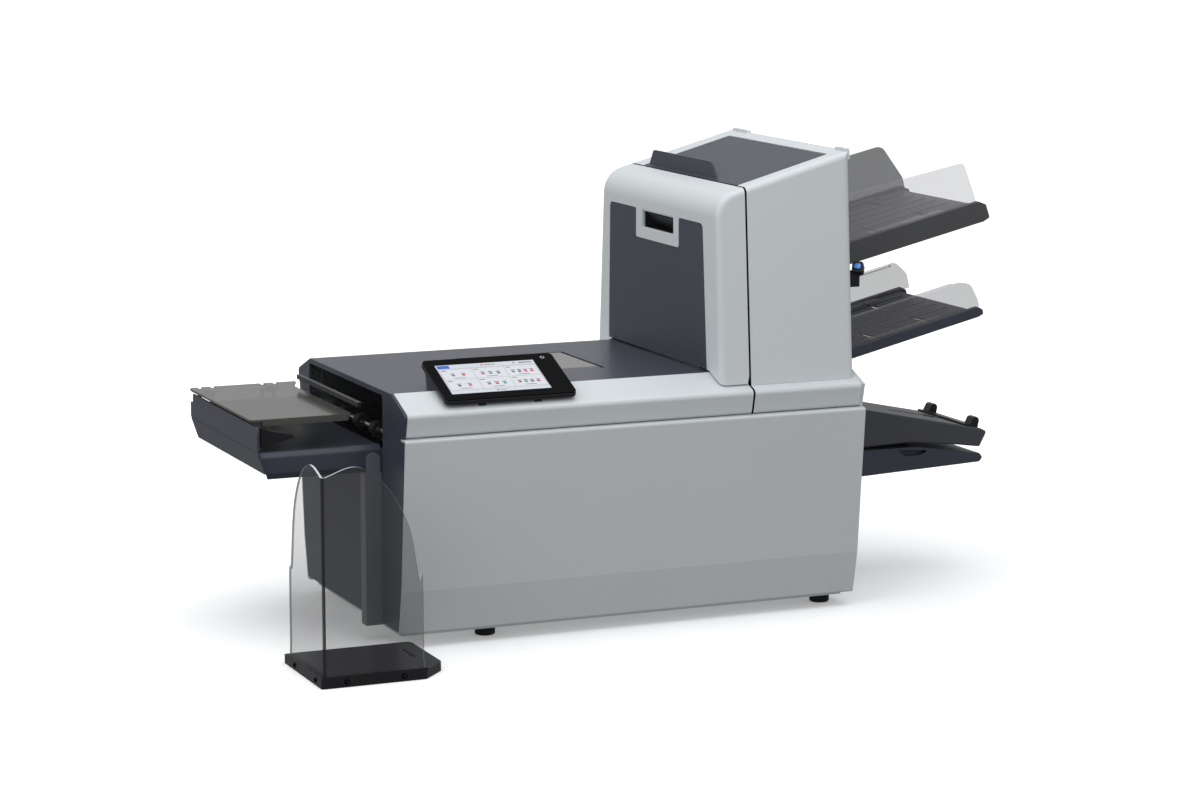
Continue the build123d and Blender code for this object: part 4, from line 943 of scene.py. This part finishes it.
@dataclass
class OutputUnit:
    """Exit bay with its smoked cover and side rail."""

    lip: float = 2.5 * MM
    corner: float = 18 * MM
    front_end: float = 30 * MM
    rear_end: float = 12 * MM
    gasket_drop: float = 3.6 * MM
    gasket_width: float = 2.4 * MM
    gasket_height: float = 1.0 * MM

    def build(self) -> None:
        """Dress the exit bay, and run a gasket under the cover's front and left edges."""
        dress(DARK, "output_base", "output_side")
        dress(PILLAR, "exit_pillar")
        dress(SMOKED, "output_cover")
        # The steel exit guide is dressed black as painted shade of the dark cavity it sits in.
        dress(BLACK, "exit_guide", "holddown_finger")
        low, high = corners("output_cover")
        level = high.z - self.gasket_drop
        run = [
            Vector((high.x - self.front_end, low.y + self.lip, level)),
            Vector((low.x + self.corner, low.y + self.lip, level)),
            Vector((low.x + self.lip, low.y + self.corner, level)),
            Vector((low.x + self.lip, high.y - self.rear_end, level)),
        ]
        sizes = {"Width": self.gasket_width, "Height": self.gasket_height}
        strip = strip_tree("gasket_strip", BLACK)
        strip.grow("cover_gasket", "output_cover", Slot.BLACK, lines(run), sizes)


@dataclass
class CatchStacker:
    """Clear corner sheet on a black base."""

    coat: float = 0.06 * MM
    edge_band: float = 2 * MM
    tilt: float = 0.06
    screw_level: float = 7 * MM
    screws_along_side: tuple[float, float] = (26 * MM, 112 * MM)
    screws_along_front: tuple[float, float] = (34 * MM, 112 * MM)

    def build(self) -> None:
        """Dress the stacker, paint highlights on its sawn edges and a dark reflection line on its bend, and
        add its screws.
        """
        dress(CLEAR, "stacker_sheet")
        dress(BLACK, "stacker_base")
        self.edges()
        self.screws()

    def edges(self) -> None:
        """Paint highlights on the sawn edges of the sheet, and a dark reflection line along its bend."""
        high = corners("stacker_sheet")[1]

        def sawn(normal: Vector, centre: Vector) -> bool:
            """Whether a face is a sawn edge of the sheet."""
            back = normal.y > 0.7 and centre.y > high.y - self.edge_band
            right = normal.x > 0.7 and centre.x > high.x - self.edge_band
            return abs(normal.z) > self.tilt or back or right

        def bent(normal: Vector, centre: Vector) -> bool:
            """Whether a face is on the vertical bend."""
            return abs(normal.z) < self.tilt and abs(normal.x) > 0.3 and abs(normal.y) > 0.3

        # Painted highlight on the sawn edges.
        skin("stacker_edge_highlight", "stacker_sheet", "catch_stacker", EDGE_HIGHLIGHT, sawn, self.coat)
        # Painted dark reflection line along the bend.
        skin("stacker_bend_reflection", "stacker_sheet", "catch_stacker", BEND_REFLECTION_DARK, bent, self.coat)

    def screws(self) -> None:
        """Set two screws in each raised rim of the base."""
        low = corners("stacker_base")[0]
        level = low.z + self.screw_level
        places = [Vector((low.x, low.y + along, level)) for along in self.screws_along_side]
        places += [Vector((low.x + along, low.y, level)) for along in self.screws_along_front]
        aims = [Vector((-1, 0, 0))] * 2 + [Vector((0, -1, 0))] * 2
        tree = screw_tree("stacker_screw", BLACK_GLOSS, BLACK)
        sizes = {"Head Radius": 3.8 * MM, "Head Height": 2.2 * MM}
        tree.grow("stacker_screws", "catch_stacker", Slot.BLACK, spots(places, aims), sizes, True)


@dataclass
class FeedTrays:
    """Two sheet trays with their side guides."""

    slope: float = 13.4
    rib_shares: tuple[float, ...] = tuple(0.22 + 0.14 * i for i in range(5))
    rib_start: float = 0.12
    rib_end: float = 0.9
    rib_width: float = 3 * MM
    rib_height: float = 1.6 * MM

    def build(self) -> None:
        """Dress both trays, and add deck ribs."""
        dress(RAIL, "upper_tray")
        dress(DARK, "middle_tray")
        dress(CLEAR_GUIDE, "upper_front_guide")
        dress(SMOKED_LIGHT, "middle_front_guide", "middle_rear_guide")
        dress(SMOKED_BAND, "upper_rear_guide")
        dress(BLACK, "tray_hinges")
        ribs = strip_tree("deck_rib", DARK)
        for tray in ("upper_tray", "middle_tray"):
            deck = self.deck(tray)
            runs = [
                [deck.at(share, self.rib_start), deck.at(share, self.rib_end)] for share in self.rib_shares
            ]
            sizes = {"Width": self.rib_width, "Height": self.rib_height}
            ribs.grow(f"{tray}_ribs", tray, Slot.ANTHRACITE, lines(*runs), sizes)

    def deck(self, tray: str) -> Facet:
        """The sloping deck of a tray, its width along Y."""
        angle = math.radians(self.slope)
        return Facet.of(tray, Vector((-math.sin(angle), 0, math.cos(angle))), Vector((0, 1, 0)))


@dataclass
class EnvelopeFeeder:
    """Low feed table with its supporting arm and stops."""

    def build(self) -> None:
        """Dress the feeder."""
        dress(TAUPE, "envelope_table")
        dress(DARK, "feeder_arm")
        dress(BLACK, "envelope_stop")


@dataclass(frozen=True)
class Patch:
    """A lit rectangle of the page, in shares of the screen from its top left."""

    left: float
    top: float
    right: float
    foot: float
    tone: Tone
    layer: int


@dataclass
class Tablet:
    """Tilted touch display on its wedge stand."""

    facing: Colour = (0.0, -0.386, 0.9225)
    screen_left: float = 0.073
    screen_right: float = 0.83
    screen_top: float = 0.146
    screen_foot: float = 0.858
    layer_height: float = 0.05 * MM
    rows: tuple[tuple[float, float], ...] = ((0.17, 0.505), (0.53, 0.865))
    columns: tuple[tuple[float, float], ...] = ((0.02, 0.335), (0.345, 0.66), (0.67, 0.985))
    sign_tones: tuple[Tone, ...] = (Tone.MAGENTA, Tone.RED, Tone.TEAL, Tone.INK)
    power_place: tuple[float, float] = (0.913, 0.098)
    power_lift: float = 0.06 * MM
    ring_radii: tuple[float, float] = (2.3 * MM, 3.0 * MM)
    ring_start: float = 35.0
    ring_turn: float = 290.0
    ring_steps: int = 28
    stroke_half: float = 0.35 * MM
    stroke_foot: float = 0.6 * MM
    stroke_top: float = 3.1 * MM

    def build(self) -> None:
        """Dress the display, then lay its page and power sign on the glass."""
        dress(BLACK_GLOSS, "tablet_glass")
        dress(BLACK, "tablet_housing")
        dress(DARK, "tablet_stand")
        face = Facet.of("tablet_glass", Vector(self.facing), Vector((1, 0, 0)), 0.06)
        self.draw(face)
        self.power_sign(face)

    def page(self) -> list[Patch]:
        """The page's ground, its two bars with their signs, and a tile for each job."""
        patches = [
            Patch(0.0, 0.0, 1.0, 1.0, Tone.GROUND, 1),
            Patch(0.0, 0.0, 1.0, 0.125, Tone.BAR, 2),
            Patch(0.012, 0.02, 0.135, 0.125, Tone.BLUE, 3),
            Patch(0.455, 0.045, 0.475, 0.085, Tone.RED, 3),
            Patch(0.49, 0.055, 0.60, 0.075, Tone.INK, 3),
            Patch(0.78, 0.05, 0.80, 0.08, Tone.INK, 3),
            Patch(0.84, 0.05, 0.97, 0.08, Tone.INK, 3),
            Patch(0.0, 0.895, 1.0, 1.0, Tone.BAR, 2),
            Patch(0.46, 0.93, 0.48, 0.965, Tone.BLUE, 3),
            Patch(0.49, 0.94, 0.56, 0.955, Tone.INK, 3),
        ]
        places = [(left, top, right, foot) for top, foot in self.rows for left, right in self.columns]
        for order, place in enumerate(places):
            patches += self.tile(*place, order)
        return patches

    def tile(self, left: float, top: float, right: float, foot: float, order: int) -> list[Patch]:
        """One job tile with its row of sheet and envelope signs.

        Args:
            left: Its left edge on the screen.
            top: Its top edge.
            right: Its right edge.
            foot: Its lower edge.
            order: Its number on the page.

        Returns:
            Its patches.
        """
        patches = [
            Patch(left, top, right, foot, Tone.TILE, 2),
            Patch(left + 0.012, top + 0.025, left + 0.06, top + 0.045, Tone.INK, 3),
        ]
        signs = (order % 3) + 2
        step = (right - left) / (signs + 1)
        for sign in range(signs):
            middle = left + step * (sign + 1)
            tone = self.sign_tones[(order + sign) % len(self.sign_tones)]
            patches.append(Patch(middle - 0.020, top + 0.13, middle + 0.020, top + 0.155, Tone.INK, 3))
            patches.append(Patch(middle - 0.016, top + 0.17, middle + 0.016, top + 0.225, tone, 3))
        patches.append(Patch(left + 0.10, foot - 0.05, right - 0.10, foot - 0.035, Tone.INK, 3))
        return patches

    def draw(self, face: Facet) -> None:
        """Make the page, each patch a hair above the one under it.

        Args:
            face: The glass.
        """
        wide, tall = self.screen_right - self.screen_left, self.screen_foot - self.screen_top
        tones = list(Tone)
        points, faces, marks = [], [], []
        for patch in self.page():
            lift = patch.layer * self.layer_height
            ring = [(patch.left, patch.foot), (patch.right, patch.foot)]
            ring += [(patch.right, patch.top), (patch.left, patch.top)]
            faces.append(range(len(points), len(points) + len(ring)))
            points += [
                face.at(self.screen_left + across * wide, self.screen_top + down * tall, lift)
                for across, down in ring
            ]
            marks.append(tones.index(patch.tone))
        data = faced("display_page", points, faces, [tone.value for tone in tones])
        data.polygons.foreach_set("material_index", marks)
        mount("display_page", data, "tablet")

    def power_sign(self, face: Facet) -> None:
        """Draw the lit ring and stroke beside the screen.

        Args:
            face: The glass.
        """
        middle = face.at(*self.power_place, self.power_lift)
        points = []
        for step in range(self.ring_steps):
            angle = math.radians(self.ring_start + self.ring_turn * step / (self.ring_steps - 1))
            way = face.down * -math.cos(angle) + face.across * math.sin(angle)
            points += [middle + way * radius for radius in self.ring_radii]
        faces = [[2 * i, 2 * i + 1, 2 * i + 3, 2 * i + 2] for i in range(self.ring_steps - 1)]
        faces.append(range(len(points), len(points) + 4))
        half = self.stroke_half
        for aside, rise in (
            (-half, self.stroke_foot),
            (half, self.stroke_foot),
            (half, self.stroke_top),
            (-half, self.stroke_top),
        ):
            points.append(middle + face.across * aside - face.down * rise)
        data = faced("power_sign", points, faces, [Lit("power_sign_light", (0.85, 0.87, 0.90))])
        if data.polygons[0].normal.dot(face.out) < 0:
            data.flip_normals()
        mount("power_sign", data, "tablet")


@dataclass
class FeedButton:
    """Blue push button on the tower's right wall."""

    lens_radius: float = 7 * MM

    def build(self) -> None:
        """Dress the button."""
        dress(BLACK, "button_stem")
        low, high = corners("feed_button")
        dress(Lens("blue_lens", tuple((low + high) / 2), self.lens_radius), "feed_button")


@dataclass
class Inside:
    """Rollers, drive, board and supply."""

    shaft_radius: float = 5.3 * MM
    rollers: tuple[str, ...] = (
        "exit_roller",
        "lower_fold_roller",
        "upper_fold_roller",
        "upper_feed_roller",
        "middle_feed_roller",
        "envelope_feed_roller",
    )

    def build(self) -> None:
        """Dress what is inside."""
        for roller in self.rollers:
            low, high = corners(roller)
            middle = (low + high) / 2
            dress(Roller(f"{roller}_rubber", middle.x, middle.z, self.shaft_radius), roller)
        dress(RUBBER, "drive_belt")
        dress(STEEL, "drive_motor", "motor_pulley", "power_supply")
        dress(BOARD, "control_board")


# ---------------------------------------------------------------- studio
@dataclass(frozen=True)
class Lamp:
    """A soft square light."""

    name: str
    place: Colour
    target: Colour
    side: float
    power: float

    def build(self) -> None:
        """Hang the light."""
        light = bpy.data.lights.new(self.name, "AREA")
        light.shape, light.size, light.energy = "SQUARE", self.side, self.power
        item = bpy.data.objects.new(self.name, light)
        item.location = self.place
        item.rotation_euler = (Vector(self.target) - Vector(self.place)).to_track_quat("-Z", "Y").to_euler()
        bpy.context.scene.collection.objects.link(item)


@dataclass
class Studio:
    """Pale floor, soft lights and the camera."""

    eye: Colour = (-1.8690, -4.2564, 1.0713)
    heading: Colour = (0.3885, 0.9065, -0.1650)
    lens: float = 100.88
    floor_side: float = 120.0
    floor_drop: float = 0.3 * MM
    # Painted shade on the floor: where it starts to fade and over how far.
    shade_fade_start: float = 0.4
    shade_fade_reach: float = 1.2
    sky: float = 0.62
    bounce: float = 0.30
    horizon_softness: float = 2.2
    lamps: tuple[Lamp, ...] = (
        Lamp("top_box", (-0.2, -0.3, 2.6), (0.0, 0.0, 0.3), 3.0, 42.0),
        Lamp("left_box", (-3.0, -1.6, 1.6), (0.0, 0.0, 0.4), 2.0, 26.0),
        Lamp("front_box", (1.2, -3.4, 1.5), (0.1, 0.0, 0.3), 1.6, 10.0),
    )

    def build(self) -> None:
        """Set the stage."""
        half = self.floor_side / 2
        points = [(-half, -half, 0), (half, -half, 0), (half, half, 0), (-half, half, 0)]
        data = bpy.data.meshes.new("floor")
        data.from_pydata(points, [], [(0, 1, 2, 3)])
        data.materials.append(self.floor_material())
        floor = bpy.data.objects.new("floor", data)
        floor.location.z = -self.floor_drop
        bpy.context.scene.collection.objects.link(floor)
        for lamp in self.lamps:
            lamp.build()
        floor.visible_diffuse = False
        floor.visible_glossy = False
        bpy.context.scene.world = self.sky_light()
        bpy.context.scene.view_settings.view_transform = "Standard"
        self.camera()

    def sky_light(self) -> bpy.types.World:
        """Soft light from all round, dimmer from below the table."""
        world = bpy.data.worlds.new("studio_sky")
        world.use_nodes = True
        sky = Tree(world.node_tree)
        world.node_tree.nodes.clear()
        way = sky.add("ShaderNodeTexCoord", out="Generated")
        up = sky.add("ShaderNodeSeparateXYZ", {}, {0: way}, 2)
        share = (up * self.horizon_softness + 0.5).within_unit()
        light = share * (self.sky - self.bounce) + self.bounce
        glow = sky.add("ShaderNodeBackground", {}, {"Color": (0.97, 0.985, 1.0), "Strength": light})
        sky.add("ShaderNodeOutputWorld", {}, {"Surface": glow})
        return world

    def floor_material(self) -> bpy.types.Material:
        """Pale floor with painted shade around the machine, growing brighter away from it."""
        shader = Shader("pale_floor")
        x, y, _ = shader.axes()
        share = (((x * x + y * y).math("SQRT") - self.shade_fade_start) / self.shade_fade_reach).within_unit()
        grain = shader.noise(30.0, 2.0)
        return shader.surface(
            Base_Color=shader.blend(grain, (0.86, 0.865, 0.87), (0.88, 0.885, 0.89)),
            Roughness=0.9,
            Specular_IOR_Level=0.1,
            # Painted shade: the glow is dimmest near the machine.
            Emission_Color=shader.blend(share, (0.22, 0.22, 0.22), (0.60, 0.60, 0.60)),
            Emission_Strength=1.0,
        )

    def camera(self) -> None:
        """Place the camera."""
        view = bpy.data.cameras.new("main_camera")
        view.sensor_width, view.lens = 36.0, self.lens
        view.clip_start, view.clip_end = 0.05, 200.0
        item = bpy.data.objects.new("main_camera", view)
        item.location = self.eye
        item.rotation_mode = "QUATERNION"
        item.rotation_quaternion = Vector(self.heading).to_track_quat("-Z", "Y")
        bpy.context.scene.collection.objects.link(item)
        bpy.context.scene.camera = item


def main() -> None:
    """Build the classes in order."""
    logging.basicConfig(level=logging.INFO, format="%(name)s: %(message)s")
    for assembly in (
        Housing(),
        Tower(),
        OutputUnit(),
        CatchStacker(),
        FeedTrays(),
        EnvelopeFeeder(),
        Tablet(),
        FeedButton(),
        Inside(),
        Studio(),
    ):
        log.info("building %s", type(assembly).__name__)
        assembly.build()


if __name__ == "__main__":
    main()
